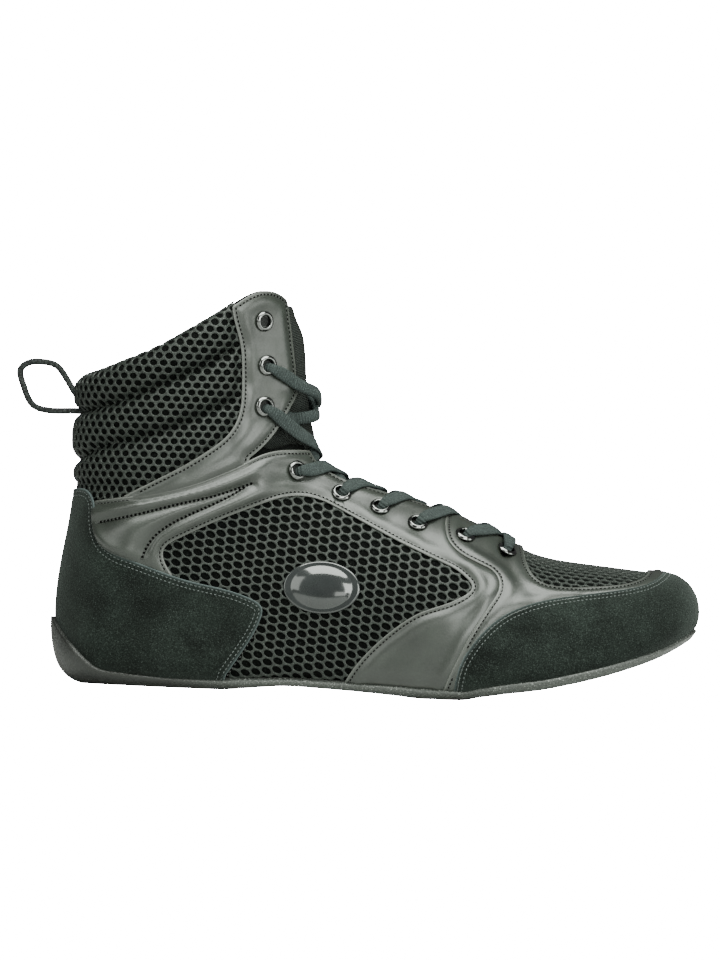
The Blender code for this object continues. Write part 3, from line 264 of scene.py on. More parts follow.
def from_grid(grid, t, angle):
    """Values of a grid over the last at any section and angle."""
    r = np.clip((np.asarray(t, float) - ROWS[0]) / (ROWS[1] - ROWS[0]), 0, len(ROWS) - 1)
    c = np.clip(np.interp(angle, TURNS, np.arange(len(TURNS))), 0, len(TURNS) - 1)
    i, j = np.minimum(r.astype(int), len(ROWS) - 2), np.minimum(c.astype(int), len(TURNS) - 2)
    u, v = r - i, c - j
    if grid.ndim == 3:
        u, v = u[..., None], v[..., None]
    return ((grid[i, j] * (1 - u) + grid[i + 1, j] * u) * (1 - v)
            + (grid[i, j + 1] * (1 - u) + grid[i + 1, j + 1] * u) * v)


def last_frame(sides, t, angle):
    """Points and unit normals of the last for arrays of side, section and angle."""
    sides = np.broadcast_to(sides, np.shape(t))
    points, normals = np.zeros((*np.shape(t), 3)), np.zeros((*np.shape(t), 3))
    for side in SIDES:
        pick = sides == side
        if pick.any():
            points[pick] = from_grid(LAST_POINTS[side], t[pick], angle[pick])
            normals[pick] = from_grid(LAST_NORMALS[side], t[pick], angle[pick])
    return points, unit(normals)


def throat_gap(t):
    """Half the width of the throat at section t, measured along the surface."""
    low = np.stack([SECTION["ridge_x"](t) * SHOE_LENGTH, SECTION["ridge_z"](t) * SHAFT_HEIGHT], -1)
    end = np.array([SECTION["ridge_x"](THROAT_ROW) * SHOE_LENGTH, SECTION["ridge_z"](THROAT_ROW) * SHAFT_HEIGHT])
    run = np.linalg.norm(low - end, axis=-1)
    widen = 0.75 + 0.25 * np.minimum(1.0, (t - THROAT_ROW) / 4)
    gap = THROAT_HALF_GAP * widen * np.sqrt(1 - (1 - np.minimum(run / THROAT_END_RADIUS, 1.0)) ** 2)
    return np.where(t <= THROAT_ROW, 0.0, gap)


def turn_at_reach(side, t, from_ridge):
    """Angle of the point a given way down from the ridge, measured along the surface."""
    found = []
    for row_t, down in zip(np.atleast_1d(t), np.broadcast_to(from_ridge, np.shape(np.atleast_1d(t)))):
        reach = from_grid(LAST_REACH[side], np.full(len(TURNS), row_t), TURNS)
        found.append(np.interp(reach[-1] - down, reach, TURNS))
    return np.array(found)


def corner_shares(corners, places):
    """Shares of the three corners at places in triangles."""
    a, b, c = (corners[:, k] for k in range(3))
    one, two, way = b - a, c - a, places - a
    d11, d12, d22 = (one * one).sum(1), (one * two).sum(1), (two * two).sum(1)
    w1, w2 = (way * one).sum(1), (way * two).sum(1)
    scale = np.maximum(d11 * d22 - d12 * d12, 1e-24)
    v, w = (d22 * w1 - d12 * w2) / scale, (d11 * w2 - d12 * w1) / scale
    shares = np.clip(np.stack([1 - v - w, v, w], -1), 0, 1)
    return shares / shares.sum(1, keepdims=True)


class Chart:
    """A flat map of part of the last, to find the surface under a point of the map and back."""

    def __init__(self, parts):
        flats, shapes, sides, ts, turns, solids = [], [], [], [], [], []
        start = 0
        for side, rows, flat in parts:
            count, wide = flat.shape[:2]
            index = np.arange(count * wide).reshape(count, wide) + start
            quads = quads_of(index)
            shapes += [quads[:, :3], quads[:, [0, 2, 3]]]
            flats.append(flat.reshape(-1, 2))
            sides.append(np.full(count * wide, side))
            ts.append(np.repeat(ROWS[rows], wide))
            turns.append(np.tile(TURNS, count))
            solids.append(LAST_POINTS[side][rows].reshape(-1, 3))
            start += count * wide
        self.tris = np.concatenate(shapes)
        self.flat, self.side, self.t, self.turn, self.solid = (
            np.concatenate(values) for values in (flats, sides, ts, turns, solids))
        faces = self.tris.tolist()
        self.flat_tree = BVHTree.FromPolygons(np.column_stack([self.flat, 0 * self.t]).tolist(), faces)
        self.solid_tree = BVHTree.FromPolygons(self.solid.tolist(), faces)

    def find(self, flat):
        """Side, section and angle under points of the map."""
        hits = [self.flat_tree.find_nearest((a, b, 0)) for a, b in flat]
        tris = self.tris[[hit[2] for hit in hits]]
        shares = corner_shares(self.flat[tris], np.array([hit[0][:2] for hit in hits]))
        return self.side[tris[:, 0]], (self.t[tris] * shares).sum(1), (self.turn[tris] * shares).sum(1)

    def frame(self, flat):
        """Places and normals of the last under points of the map."""
        return last_frame(*self.find(flat))

    def flatten(self, solid):
        """Points of the map for points near the surface."""
        hits = [self.solid_tree.find_nearest(tuple(p)) for p in solid]
        tris = self.tris[[hit[2] for hit in hits]]
        shares = corner_shares(self.solid[tris], np.array([tuple(hit[0]) for hit in hits]))
        return (self.flat[tris] * shares[..., None]).sum(1)


SIDE_MAP = {side: Chart([(side, slice(16, 540), LAST_POINTS[side][16:, :, ::2])]) for side in SIDES}


def side_line(line, steps=6):
    """A side-view line in metres, rounded through its points."""
    points = in_view(line)
    reach = travel(points)
    stations = np.concatenate([np.linspace(a, b, steps, endpoint=False) for a, b in zip(reach, reach[1:])])
    stations = np.append(stations, reach[-1])
    return np.stack([natural_spline(reach, points[:, k])(stations) for k in (0, 1)], -1)


def inside(polygon, points):
    """Whether each point of the map lies inside a closed outline."""
    found = np.zeros(len(points), bool)
    x, y = points[:, 0], points[:, 1]
    for (x0, y0), (x1, y1) in zip(polygon, np.roll(polygon, -1, axis=0)):
        if y0 != y1:
            crosses = ((y0 > y) != (y1 > y)) & (x < (x1 - x0) * (y - y0) / (y1 - y0) + x0)
            found ^= crosses
    return found


def triangulate(points, loops):
    """Triangles over points of a map, with every edge of the closed loops kept."""
    edges, start = [], 0
    for loop in loops:
        edges += [(start + k, start + (k + 1) % len(loop)) for k in range(len(loop))]
        start += len(loop)
    every = np.concatenate([*loops, points]) / MM
    made = delaunay_2d_cdt([Vector(p) for p in every.tolist()], edges, [], 0, 1e-5)
    return np.array([tuple(p) for p in made[0]]) * MM, np.array([tuple(f) for f in made[2]], int)


def roll_share(x, z):
    """How far the collar stands out, from 0 in a sewn groove to 1 on top of a roll."""
    sx, sz = length_share(x), z / SHAFT_HEIGHT
    seam = np.maximum(COUNTER_TOP, quarter_top(sx)) + 0.02
    levels = [np.minimum(seam, groove_2(sx)), groove_2(sx), groove_1(sx), collar_height(sx)]
    share = np.zeros(np.shape(sx))
    for band in range(3):
        u = np.clip((sz - levels[band]) / np.maximum(levels[band + 1] - levels[band], 1e-4), 0, 1)
        bulge = np.sqrt(np.maximum(4 * u * (1 - u), 0)) * (0.6, 1.0, 1.0)[band]
        if band == 2:
            bulge = np.where(u > 0.5, np.maximum(bulge, 0.55), bulge)
        share = np.where((sz > levels[band]) & (sz <= levels[band + 1] + 0.03), bulge, share)
    for level in levels[1:3]:
        share = share - 0.5 * np.exp(-((sz - level) * SHAFT_HEIGHT / 0.0024) ** 2)
    before_flap = ((flap_rear_at(sz) - sx) * SHOE_LENGTH - 0.001) / 0.004
    return share * ease(before_flap)


def padding_share(x, z):
    """1 in the padded collar and 0 in the foot and the flaps, with a soft edge between."""
    sx, sz = length_share(x), z / SHAFT_HEIGHT
    up = (sz - COUNTER_TOP) * SHAFT_HEIGHT / 0.008
    return ease(np.minimum(up, ((flap_rear_at(sz) - sx) * SHOE_LENGTH + 0.01) / 0.012))


def edge_distance(points, edge):
    """Distance of each point from a dense line of points, both in space or both on a map."""
    points, edge = (np.pad(line, ((0, 0), (0, 3 - line.shape[1]))) for line in (points, edge))
    tree = KDTree(len(edge))
    for k, place in enumerate(edge):
        tree.insert(place, k)
    tree.balance()
    return np.array([tree.find(place)[2] for place in points])


def shader_of(name, colour, roughness, metallic=0.0, **more):
    """A material with a Principled shader, and the two."""
    made = bpy.data.materials.new(name)
    made.use_nodes = True
    shader = made.node_tree.nodes["Principled BSDF"]
    shader.inputs["Base Color"].default_value = (*colour, 1)
    shader.inputs["Roughness"].default_value = roughness
    shader.inputs["Metallic"].default_value = metallic
    for socket, value in more.items():
        shader.inputs[socket.replace("_", " ")].default_value = value
    return made, shader


def node(material, kind, links=(), **values):
    """A shader node with values set on it, and links from (node, output) to its inputs."""
    made = material.node_tree.nodes.new("ShaderNode" + kind)
    for name, value in values.items():
        if hasattr(made, name):
            setattr(made, name, value)
        else:
            made.inputs[name.replace("_", " ")].default_value = value
    for target, source, output in links:
        material.node_tree.links.new(source.outputs[output], made.inputs[target])
    return made


def join(material, source, output, target, socket):
    material.node_tree.links.new(source.outputs[output], target.inputs[socket])


def ramp(material, source, output, stops):
    """A colour ramp fed by a node, with (place, colour) stops."""
    made = node(material, "ValToRGB", [("Fac", source, output)])
    points = made.color_ramp.elements
    while len(points) < len(stops):
        points.new(0.5)
    for point, (place, colour) in zip(points, stops):
        point.position = place
        point.color = (*colour, 1)
    return made


def noise(material, scale, detail=3.0, vector="Object", rough=0.5):
    where = node(material, "TexCoord")
    return node(material, "TexNoise", [("Vector", where, vector)], Scale=scale, Detail=detail, Roughness=rough)


def bump(material, shader, source, output, strength, height, below=None):
    made = node(material, "Bump", [("Height", source, output)], Strength=strength, Distance=height)
    if below:
        join(material, below, "Normal", made, "Normal")
    join(material, made, "Normal", shader, "Normal")
    return made


def fine_finish(name, colour, rough, grain, stops, relief=None, **more):
    """A material coloured by fine noise and raised by it. The grain is the noise's scale and detail."""
    made, shader = shader_of(name, colour, rough, **more)
    fibre = noise(made, *grain)
    join(made, ramp(made, fibre, "Fac", stops), "Color", shader, "Base Color")
    if relief:
        bump(made, shader, fibre, "Fac", *relief)
    return made


def mended(piece, weld=None, thin=None, fill=False, turn_out=True):
    """The piece with its doubled points joined, its slivers and holes closed and its faces outward."""
    bm = bmesh.new()
    bm.from_mesh(piece.data)
    if weld:
        bmesh.ops.remove_doubles(bm, verts=bm.verts, dist=weld)
    if thin:
        bmesh.ops.dissolve_degenerate(bm, edges=bm.edges, dist=thin)
    if fill:
        bmesh.ops.holes_fill(bm, edges=bm.edges, sides=0)
    if turn_out:
        bmesh.ops.recalc_face_normals(bm, faces=bm.faces)
    bm.to_mesh(piece.data)
    bm.free()
    piece.data.shade_smooth()
    return piece


def lay(name, points, faces, materials, faces_of=None, uv=None, edge=None):
    """A smooth piece from points and faces, with its map coordinates and its nearness to a cut edge."""
    mesh = bpy.data.meshes.new(name)
    mesh.from_pydata(points.tolist(), [], faces.tolist())
    for made in materials:
        mesh.materials.append(made)
    if faces_of is not None:
        mesh.polygons.foreach_set("material_index", faces_of)
    if uv is not None:
        layer = mesh.uv_layers.new(name="UVMap")
        corner = np.zeros(len(mesh.loops), np.int32)
        mesh.loops.foreach_get("vertex_index", corner)
        layer.data.foreach_set("uv", uv[corner].astype(np.float32).ravel())
    if edge is not None:
        mesh.attributes.new("cut_edge", "FLOAT", "POINT").data.foreach_set("value", edge.astype(np.float32))
    mesh.shade_smooth()
    made = bpy.data.objects.new(name, mesh)
    bpy.context.scene.collection.objects.link(made)
    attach(made, "root")
    return made


def outward(points, normals, faces):
    """The faces, all turned the way the normals point."""
    a, b, c = (points[faces[:, k]] for k in range(3))
    away = (np.cross(b - a, c - a) * normals[faces].sum(1)).sum(1) < 0
    faces = faces.copy()
    faces[away] = faces[away][:, ::-1]
    return faces


def shell_half(side):
    """One side of the shell: map points, triangles, and the open edge in space."""
    wide, tall = 0.0115, 0.075
    turn_columns = np.linspace(0, math.pi, 49)
    rows = np.concatenate([np.linspace(0.03, 8, 45), np.linspace(8.2, 21, 76), np.linspace(21.2, 26.9, 50)])
    top = []
    for angle in turn_columns:
        line = last_points(side, ROWS, angle)
        over = line[:, 2] - SHAFT_HEIGHT * collar_height(length_share(line[:, 0]))
        first = np.argmax((over > 0) & (ROWS > 21))
        t = np.interp(0, over[first - 1:first + 1], ROWS[first - 1:first + 1])
        top.append((t, angle))
    throat_ts = np.linspace(THROAT_ROW + 0.001, top[-1][0] + 0.4, 130)
    throat = np.stack([throat_ts, turn_at_reach(side, throat_ts, throat_gap(throat_ts))], -1)
    top = np.array(top)
    top_at_throat = np.interp(throat[:, 1][::-1], top[:, 1], top[:, 0])[::-1]
    throat = throat[throat[:, 0] < top_at_throat]
    top = top[top[:, 1] < throat[-1, 1] - 0.01]
    closed_rows = rows[rows < THROAT_ROW]
    back_rows = rows[(rows < top[0, 0] - 0.05)]
    outline = np.concatenate([
        np.stack([back_rows, 0 * back_rows], -1), top, throat[::-1],
        np.stack([closed_rows[::-1], 0 * closed_rows + math.pi], -1),
    ])
    lattice = np.stack(np.meshgrid(rows, turn_columns[1:-1], indexing="ij"), -1).reshape(-1, 2)
    scale = np.array([wide, tall / math.pi])
    keep = inside(outline * scale, lattice * scale)
    open_line = np.concatenate([top, throat[::-1]])
    lattice = lattice[keep]
    lattice = lattice[edge_distance(lattice * scale, open_line * scale) > 0.0007]
    notch_flat = side_line(NOTCH, 4)
    _, notch_t, notch_turn = SIDE_MAP[side].find(notch_flat)
    notch = np.stack([notch_t, notch_turn], -1)
    flat, tris = triangulate(lattice * scale, [outline * scale, notch * scale])
    middle = flat[tris].mean(1)
    tris = tris[inside(outline * scale, middle) & ~inside(notch * scale, middle)]
    flat, tris = drop_unused(flat / scale, tris)
    edges = np.sort(np.concatenate([tris[:, [0, 1]], tris[:, [1, 2]], tris[:, [2, 0]]]), axis=1)
    edges, count = np.unique(edges, axis=0, return_counts=True)
    rim = edges[count == 1]
    ends = flat[rim]
    seam = (np.abs(ends[:, :, 1]).max(1) < 1e-4) | ((ends[:, :, 1].min(1) > math.pi - 1e-4))
    seam |= ends[:, :, 0].max(1) < 0.04
    return flat, tris, rim[~seam]


backing = fine_finish("knitted_backing", (0.003, 0.0035, 0.003), 0.9, (1900, 3),
                      [(0.42, (0.0006, 0.0008, 0.0007)), (0.66, (0.0035, 0.0042, 0.0038)),
                       (0.8, (0.030, 0.034, 0.032))], (0.5, 0.0005), Specular_IOR_Level=0.06)
lining = fine_finish("lining_cloth", (0.012, 0.013, 0.013), 0.85, (2600, 2),
                     [(0.35, (0.006, 0.007, 0.007)), (0.7, (0.035, 0.038, 0.037))], (0.35, 0.0003))
points, faces, kinds, total = [], [], [], 0
for side in SIDES:
    flat, tris, rim = shell_half(side)
    places, normals = last_frame(side, flat[:, 0], flat[:, 1])
    open_edge = places[np.unique(rim)]
    gap = edge_distance(places, open_edge)
    wall = WALL + COLLAR_PADDING * padding_share(places[:, 0], places[:, 2])
    half = wall / 2 * np.sqrt(1 - (1 - np.minimum(gap / (wall / 2), 1)) ** 2)
    roll = ROLL_RISE * roll_share(places[:, 0], places[:, 2])
    roll *= ease(gap / 0.004) * 0.6 + 0.4
    outer = places + normals * (half - wall / 2 + roll)[:, None]
    inner = places + normals * (-half - wall / 2 + roll * (half < wall * 0.02))[:, None]
    for sheet, above_bed in ((outer, 0.0002), (inner, 0.0006)):
        seat = np.maximum(bed(sheet[:, 0]), ground(*sheet[:, :2].T) + SHELL_CLEARANCE)
        sheet[:, 2] = np.maximum(sheet[:, 2], seat + above_bed)
    tris = outward(places, normals, tris)
    count = len(flat)
    points += [outer, inner]
    bridge = []
    directed = {(a, b) for tri in tris.tolist() for a, b in zip(tri, tri[1:] + tri[:1])}
    for a, b in rim.tolist():
        if (a, b) not in directed:
            a, b = b, a
        bridge += [(b, a, a + count), (b, a + count, b + count)]
    every = [tris, tris[:, ::-1] + count, np.array(bridge)]
    faces.append(np.concatenate(every) + total)
    kinds.append(np.repeat([0, 1, 1], [len(part) for part in every]))
    total += 2 * count
upper_shell = lay("upper_shell", np.concatenate(points), np.concatenate(faces), [backing, lining],
                  np.concatenate(kinds))
mended(upper_shell, weld=2e-5, thin=1e-6, turn_out=False)
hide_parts("upper")

# The honeycomb nets
# A thick polyester net with six-sided holes, over the knitted backing. It shows in the window
# of each quarter and in the vamp, and wraps the padded collar over its top edge.
RIB_HEIGHT = 0.00085
COLLAR_SLOPE = 0.87
MAP_LEVEL = 0.110
WINDOW = ((0.183, 0.284), (0.171, 0.316), (0.169, 0.341), (0.191, 0.372), (0.252, 0.422), (0.313, 0.464),
          (0.356, 0.487), (0.390, 0.487), (0.445, 0.453), (0.533, 0.383), (0.588, 0.345), (0.637, 0.300),
          (0.645, 0.280), (0.632, 0.257), (0.568, 0.213), (0.523, 0.162), (0.481, 0.093), (0.445, 0.010))
VAMP_WINDOW = ((0.726, 0.460), (0.722, 0.372), (0.729, 0.335), (0.748, 0.299), (0.775, 0.287), (0.846, 0.291),
               (0.892, 0.303), (0.917, 0.325), (0.922, 0.400))
back_line = LAST_POINTS[1][340:, 0]
BACK_HEIGHTS, BACK_PLACES = back_line[:, 2], back_line[:, 0]
level_points = []
for row in LAST_POINTS[1][250:]:
    if row[0, 2] < MAP_LEVEL < row[-1, 2]:
        level_points.append([np.interp(MAP_LEVEL, row[:, 2], row[:, k]) for k in (0, 1)])
level_points = np.array(sorted(level_points))
start = np.array([[np.interp(MAP_LEVEL, BACK_HEIGHTS, BACK_PLACES), 0.0]])
level_points = np.concatenate([start, level_points[level_points[:, 0] > start[0, 0]]])
ROUND_DEPTH = level_points[:, 0] - level_points[0, 0]
ROUND_REACH = travel(level_points)


def round_back(x, z):
    """Distance round the shaft from the back seam, for side-view points."""
    depth = x - np.interp(z, BACK_HEIGHTS, BACK_PLACES)
    return np.interp(depth, ROUND_DEPTH, ROUND_REACH) + np.maximum(depth - ROUND_DEPTH[-1], 0)


def ridge_reach(side, t, angle):
    return from_grid(LAST_REACH[side], t, np.full(np.shape(t), math.pi)) - from_grid(LAST_REACH[side], t, angle)


REAR_ROWS, FRONT_ROWS, TOE_ROWS = slice(200, 540), slice(0, 280), slice(0, 215)
rear_parts, front_parts, toe_parts = [], [], []
ridge_line = LAST_POINTS[1][:, -1]
TIP_REACH = travel(ridge_line) + 0.0006
for side in SIDES:
    solid = LAST_POINTS[side]
    rear = np.stack([side * round_back(solid[..., 0], solid[..., 2]), solid[..., 2]], -1)
    rear_parts.append((side, REAR_ROWS, rear[REAR_ROWS]))
    down = LAST_REACH[side][:, -1:] - LAST_REACH[side]
    front = np.stack([np.repeat(ridge_line[:, :1], len(TURNS), 1), side * down], -1)
    front_parts.append((side, FRONT_ROWS, front[FRONT_ROWS]))
    swing = side * math.pi * down / np.maximum(LAST_REACH[side][:, -1:], 1e-9)
    polar = TIP_REACH[:, None, None] * np.stack([np.cos(swing), np.sin(swing)], -1)
    toe_parts.append((side, TOE_ROWS, polar[TOE_ROWS]))
REAR_MAP, FRONT_MAP, TOE_MAP = Chart(rear_parts), Chart(front_parts), Chart(toe_parts)


def rear_flat(side, x, z):
    return np.stack([side * round_back(x, z), z], -1)


def front_flat(side, t, angle):
    return np.stack([np.interp(t, ROWS, ridge_line[:, 0]), side * ridge_reach(side, t, angle)], -1)


def toe_flat(side, t, angle):
    total = from_grid(LAST_REACH[side], t, np.full(np.shape(t), math.pi))
    swing = side * math.pi * ridge_reach(side, t, angle) / np.maximum(total, 1e-9)
    return np.interp(t, ROWS, TIP_REACH)[:, None] * np.stack([np.cos(swing), np.sin(swing)], -1)


def over_ridge(side, line, flat_of):
    """A side-view line on one side, taken to a map and stopped on the ridge."""
    ridge_z = np.interp(line[:, 0], ridge_line[::-1, 0][260:], ridge_line[::-1, 2][260:])
    below = line[:, 1] < ridge_z
    _, t, angle = SIDE_MAP[side].find(line[below])
    flat = flat_of(side, t, angle)
    last = below.nonzero()[0]
    ends = []
    for k in (last[0] - 1, last[-1] + 1):
        if 0 <= k < len(line):
            near = last[0] if k < last[0] else last[-1]
            share = (ridge_z[near] - line[near, 1]) / (line[k, 1] - line[near, 1] - ridge_z[k] + ridge_z[near])
            x = line[near, 0] + share * (line[k, 0] - line[near, 0])
            t_end = np.interp(-x, -ridge_line[:300, 0], ROWS[:300])
            ends.append((k < last[0], flat_of(side, np.array([t_end]), np.array([math.pi]))))
    for first, end in ends:
        flat = np.concatenate([end, flat] if first else [flat, end])
    return flat


def net_cells(area, first, second, low, high):
    """Middles of the net's cells inside an area of a map, on a slanting grid."""
    reach = int(max(high - low) / min(np.linalg.norm(first), np.linalg.norm(second))) + 4
    i, j = np.meshgrid(np.arange(-reach, reach), np.arange(-reach, reach), indexing="ij")
    middles = (low + high) / 2 + i.reshape(-1, 1) * first + j.reshape(-1, 1) * second
    middles = middles[((middles > low) & (middles < high)).all(1)]
    return middles[area(middles)]


def net_flat(middles, first, second, hole):
    """Map points, rise over the backing, and faces of a net: each cell runs from rib to hole."""
    around = np.array([first, second, second - first, -first, -second, first - second])
    corners = (around + np.roll(around, -1, axis=0)) / 3
    ring = np.stack([corners, (corners + np.roll(corners, -1, axis=0)) / 2], 1).reshape(-1, 2)
    round_off = np.tile([0.93, 1.07], 6)[:, None]
    rings = [(1.0, 0.92), (0.5 + hole / 2, 1.0), (hole, 0.72), (hole * 0.97, -0.15)]
    cell = np.concatenate([ring * share * (1 if share == 1 else round_off) for share, _ in rings])
    count = len(cell)
    rise = np.repeat([lift for _, lift in rings], len(ring)) * RIB_HEIGHT
    quads = quads_of(np.arange(count).reshape(len(rings), len(ring)), closed=True)
    flat = (middles[:, None] + cell[None]).reshape(-1, 2)
    faces = (quads[None] + (np.arange(len(middles)) * count)[:, None, None]).reshape(-1, 4)
    return flat, np.tile(rise, len(middles)), faces


def lay_net(name, points, bare, normals, faces, uv):
    """A net as one welded piece. Its cells turn the way the normals of the bare last point."""
    a, b, c = (bare[faces[:, k]] for k in range(3))
    if (np.cross(b - a, c - a) * normals[faces].sum(1)).sum() <= 0:
        faces = faces[:, ::-1]
    mended(lay(name, points, faces, [NET_YARN], uv=uv), weld=3e-5, turn_out=False)


NET_YARN = fine_finish("net_yarn", (0.020, 0.025, 0.021), 0.45, (3200, 2),
                       [(0.3, (0.0045, 0.0058, 0.0048)), (0.55, (0.016, 0.020, 0.017)),
                        (0.75, (0.085, 0.098, 0.088))], (0.5, 0.0003), Specular_IOR_Level=0.28)
BELOW_WINDOW = side_line(((0.445, -0.020), (0.240, -0.020), (0.200, 0.120), (0.183, 0.284)), 8)
quarter_window = np.concatenate([side_line(WINDOW), BELOW_WINDOW[:-1]])


def near_window(middles):
    """Cells in the quarter's window or just under its edge, above the sole."""
    near = edge_distance(middles, quarter_window) < 0.0042
    return (inside(quarter_window, middles) | near) & (middles[:, 1] > lip(middles[:, 0]) - 0.0028)


first, second = np.array([4.62, 0.62]) * MM, np.array([0.30, 3.72]) * MM
middles = net_cells(near_window, first, second, quarter_window.min(0) - 0.005, quarter_window.max(0) + 0.005)
flat, rise, faces = net_flat(middles, first, second, 0.76)
for side in SIDES:
    sides, t, angle = SIDE_MAP[side].find(flat)
    places, normals = last_frame(sides, t, angle)
    points = places + normals * rise[:, None]
    points[:, 2] = np.maximum(points[:, 2], ground(*points[:, :2].T) + SHELL_CLEARANCE)
    lay_net(f"quarter_net_{SIDE_NAMES[side]}", points, places, normals, faces, flat)

vamp_window = [over_ridge(side, side_line(VAMP_WINDOW), front_flat) for side in SIDES]
vamp_window = np.concatenate([vamp_window[0], vamp_window[1][::-1]])


def near_vamp_window(middles):
    return inside(vamp_window, middles) | (edge_distance(middles, vamp_window) < 0.0038)


first, second = np.array([4.3, 0.0]) * MM, np.array([2.15, 3.4]) * MM
middles = net_cells(near_vamp_window, first, second, vamp_window.min(0) - 0.005, vamp_window.max(0) + 0.005)
flat, rise, faces = net_flat(middles, first, second, 0.74)
sides, t, angle = FRONT_MAP.find(flat)
places, normals = last_frame(sides, t, angle)
lay_net("vamp_net", places + normals * rise[:, None], places, normals, faces, flat)


def collar_skin(sides, t, angle, over, height):
    """Points on the padded collar at a height, wrapped over its top edge where they run past it."""
    places, normals = last_frame(sides, t, angle)
    edge_z = SHAFT_HEIGHT * collar_height(length_share(places[:, 0]))
    wall = WALL + COLLAR_PADDING * padding_share(places[:, 0], np.minimum(places[:, 2], edge_z - 0.002))
    gap = (edge_z - places[:, 2]) * COLLAR_SLOPE
    roll = ROLL_RISE * roll_share(places[:, 0], places[:, 2]) * (ease(gap / 0.004) * 0.6 + 0.4)
    up = unit(np.array([0, 0, 1.0]) - normals * normals[:, 2:])
    bend = np.clip(over / (wall / 2), 0, math.pi)
    out = wall / 2 * (np.cos(bend) - 1) + roll + height * np.cos(bend)
    return places + normals * out[:, None] + up * (height * np.sin(bend))[:, None], normals


def on_collar(middles):
    _, t, angle = REAR_MAP.find(middles)
    places, _ = last_frame(np.sign(middles[:, 0]) + (middles[:, 0] == 0), t, angle)
    sx, sz = length_share(places[:, 0]), middles[:, 1] / SHAFT_HEIGHT
    above = sz > np.maximum(COUNTER_TOP - 0.02, quarter_top(sx) - 0.018)
    return above & (sx < flap_rear_at(np.minimum(sz, 0.985)) + 0.010) & (sz < collar_height(sx) + 0.050)


first, second = np.array([4.15, 0.0]) * MM, np.array([2.05, 3.15]) * MM
middles = net_cells(on_collar, first, second, np.array([-0.13, 0.078]), np.array([0.13, 0.190]))
flat, rise, faces = net_flat(middles, first, second, 0.70)
sides, t, angle = REAR_MAP.find(flat)
places, _ = last_frame(sides, t, angle)
edge_z = SHAFT_HEIGHT * collar_height(length_share(places[:, 0]))
radius = (WALL + COLLAR_PADDING) / 2
past = np.maximum(radius - (edge_z - flat[:, 1]) * COLLAR_SLOPE, 0)
turned = np.clip(past / radius, 0, math.pi)
beyond = np.maximum(past - math.pi * radius, 0)
drop = (radius - radius * np.sin(turned) + beyond) / COLLAR_SLOPE
wrapped_z = np.where(past > 0, edge_z - drop, flat[:, 1])
sides, t, angle = REAR_MAP.find(np.stack([flat[:, 0], wrapped_z], -1))
places, normals = collar_skin(sides, t, angle, past, rise)
bare, _ = last_frame(sides, t, angle)
lay_net("collar_net", places, bare, normals, faces, flat)

# The suede heel counter and toe cap
# Dark green-grey split suede, cut flat, drawn over the last and sewn down with two rows of
# thread. The cut edge is painted paler, partly its own colour and partly a painted highlight.
# Both run down behind the sole's lip.
SUEDE = 0.0021
UNDER_LIP = 0.0026
STITCH_PITCH = 0.0019
PANEL_CLEARANCE = 0.0023
OUTLINE_STEP, EDGE_STEP = 0.0009, 0.0003
SUEDE_HEMS = (0.0015, 0.0033)
SUEDE_RINGS = (0.0003, 0.0008, 0.0015, 0.0024, 0.0033)
COUNTER_LINE = ((-0.060, 0.484), (0.027, 0.484), (0.049, 0.484), (0.061, 0.459), (0.064, 0.421),
                (0.073, 0.362), (0.086, 0.338), (0.123, 0.312), (0.210, 0.268), (0.304, 0.232),
                (0.325, 0.206), (0.323, 0.180), (0.307, 0.124), (0.264, 0.020))
CAP_LINE = ((0.620, -0.020), (0.631, 0.084), (0.655, 0.153), (0.692, 0.211), (0.738, 0.244), (0.807, 0.267),
            (0.885, 0.287), (0.930, 0.313), (0.948, 0.345), (0.955, 0.420))


def even_line(chart, line, step, closed=True):
    """Points of a map line at an even distance over the surface."""
    ends = np.concatenate([line, line[:1]]) if closed else line
    fine = np.concatenate([a + (b - a) * np.linspace(0, 1, 6, endpoint=False)[:, None]
                           for a, b in zip(ends[:-1], ends[1:])] + [ends[-1:]])
    places, _ = chart.frame(fine)
    reach = travel(places)
    count = max(int(round(reach[-1] / step)), 3)
    stations = np.linspace(0, reach[-1], count + 1)[:-1 if closed else None]
    return np.stack([np.interp(stations, reach, fine[:, k]) for k in (0, 1)], -1)


def tangents_of(places, closed=True):
    if closed:
        ahead = np.roll(places, -1, axis=0) - np.roll(places, 1, axis=0)
    else:
        ahead = np.gradient(places, axis=0)
    return unit(ahead)


def beside(chart, loop, distance, is_window):
    """Map points a distance from a cut edge over the surface, on the side where the panel lies."""
    places, normals = chart.frame(loop)
    away = np.cross(normals, tangents_of(places)) * distance
    both = [chart.flatten(places + away * sign) for sign in (1, -1)]
    return (min if is_window else max)(both, key=lambda found: inside(loop, found).mean())


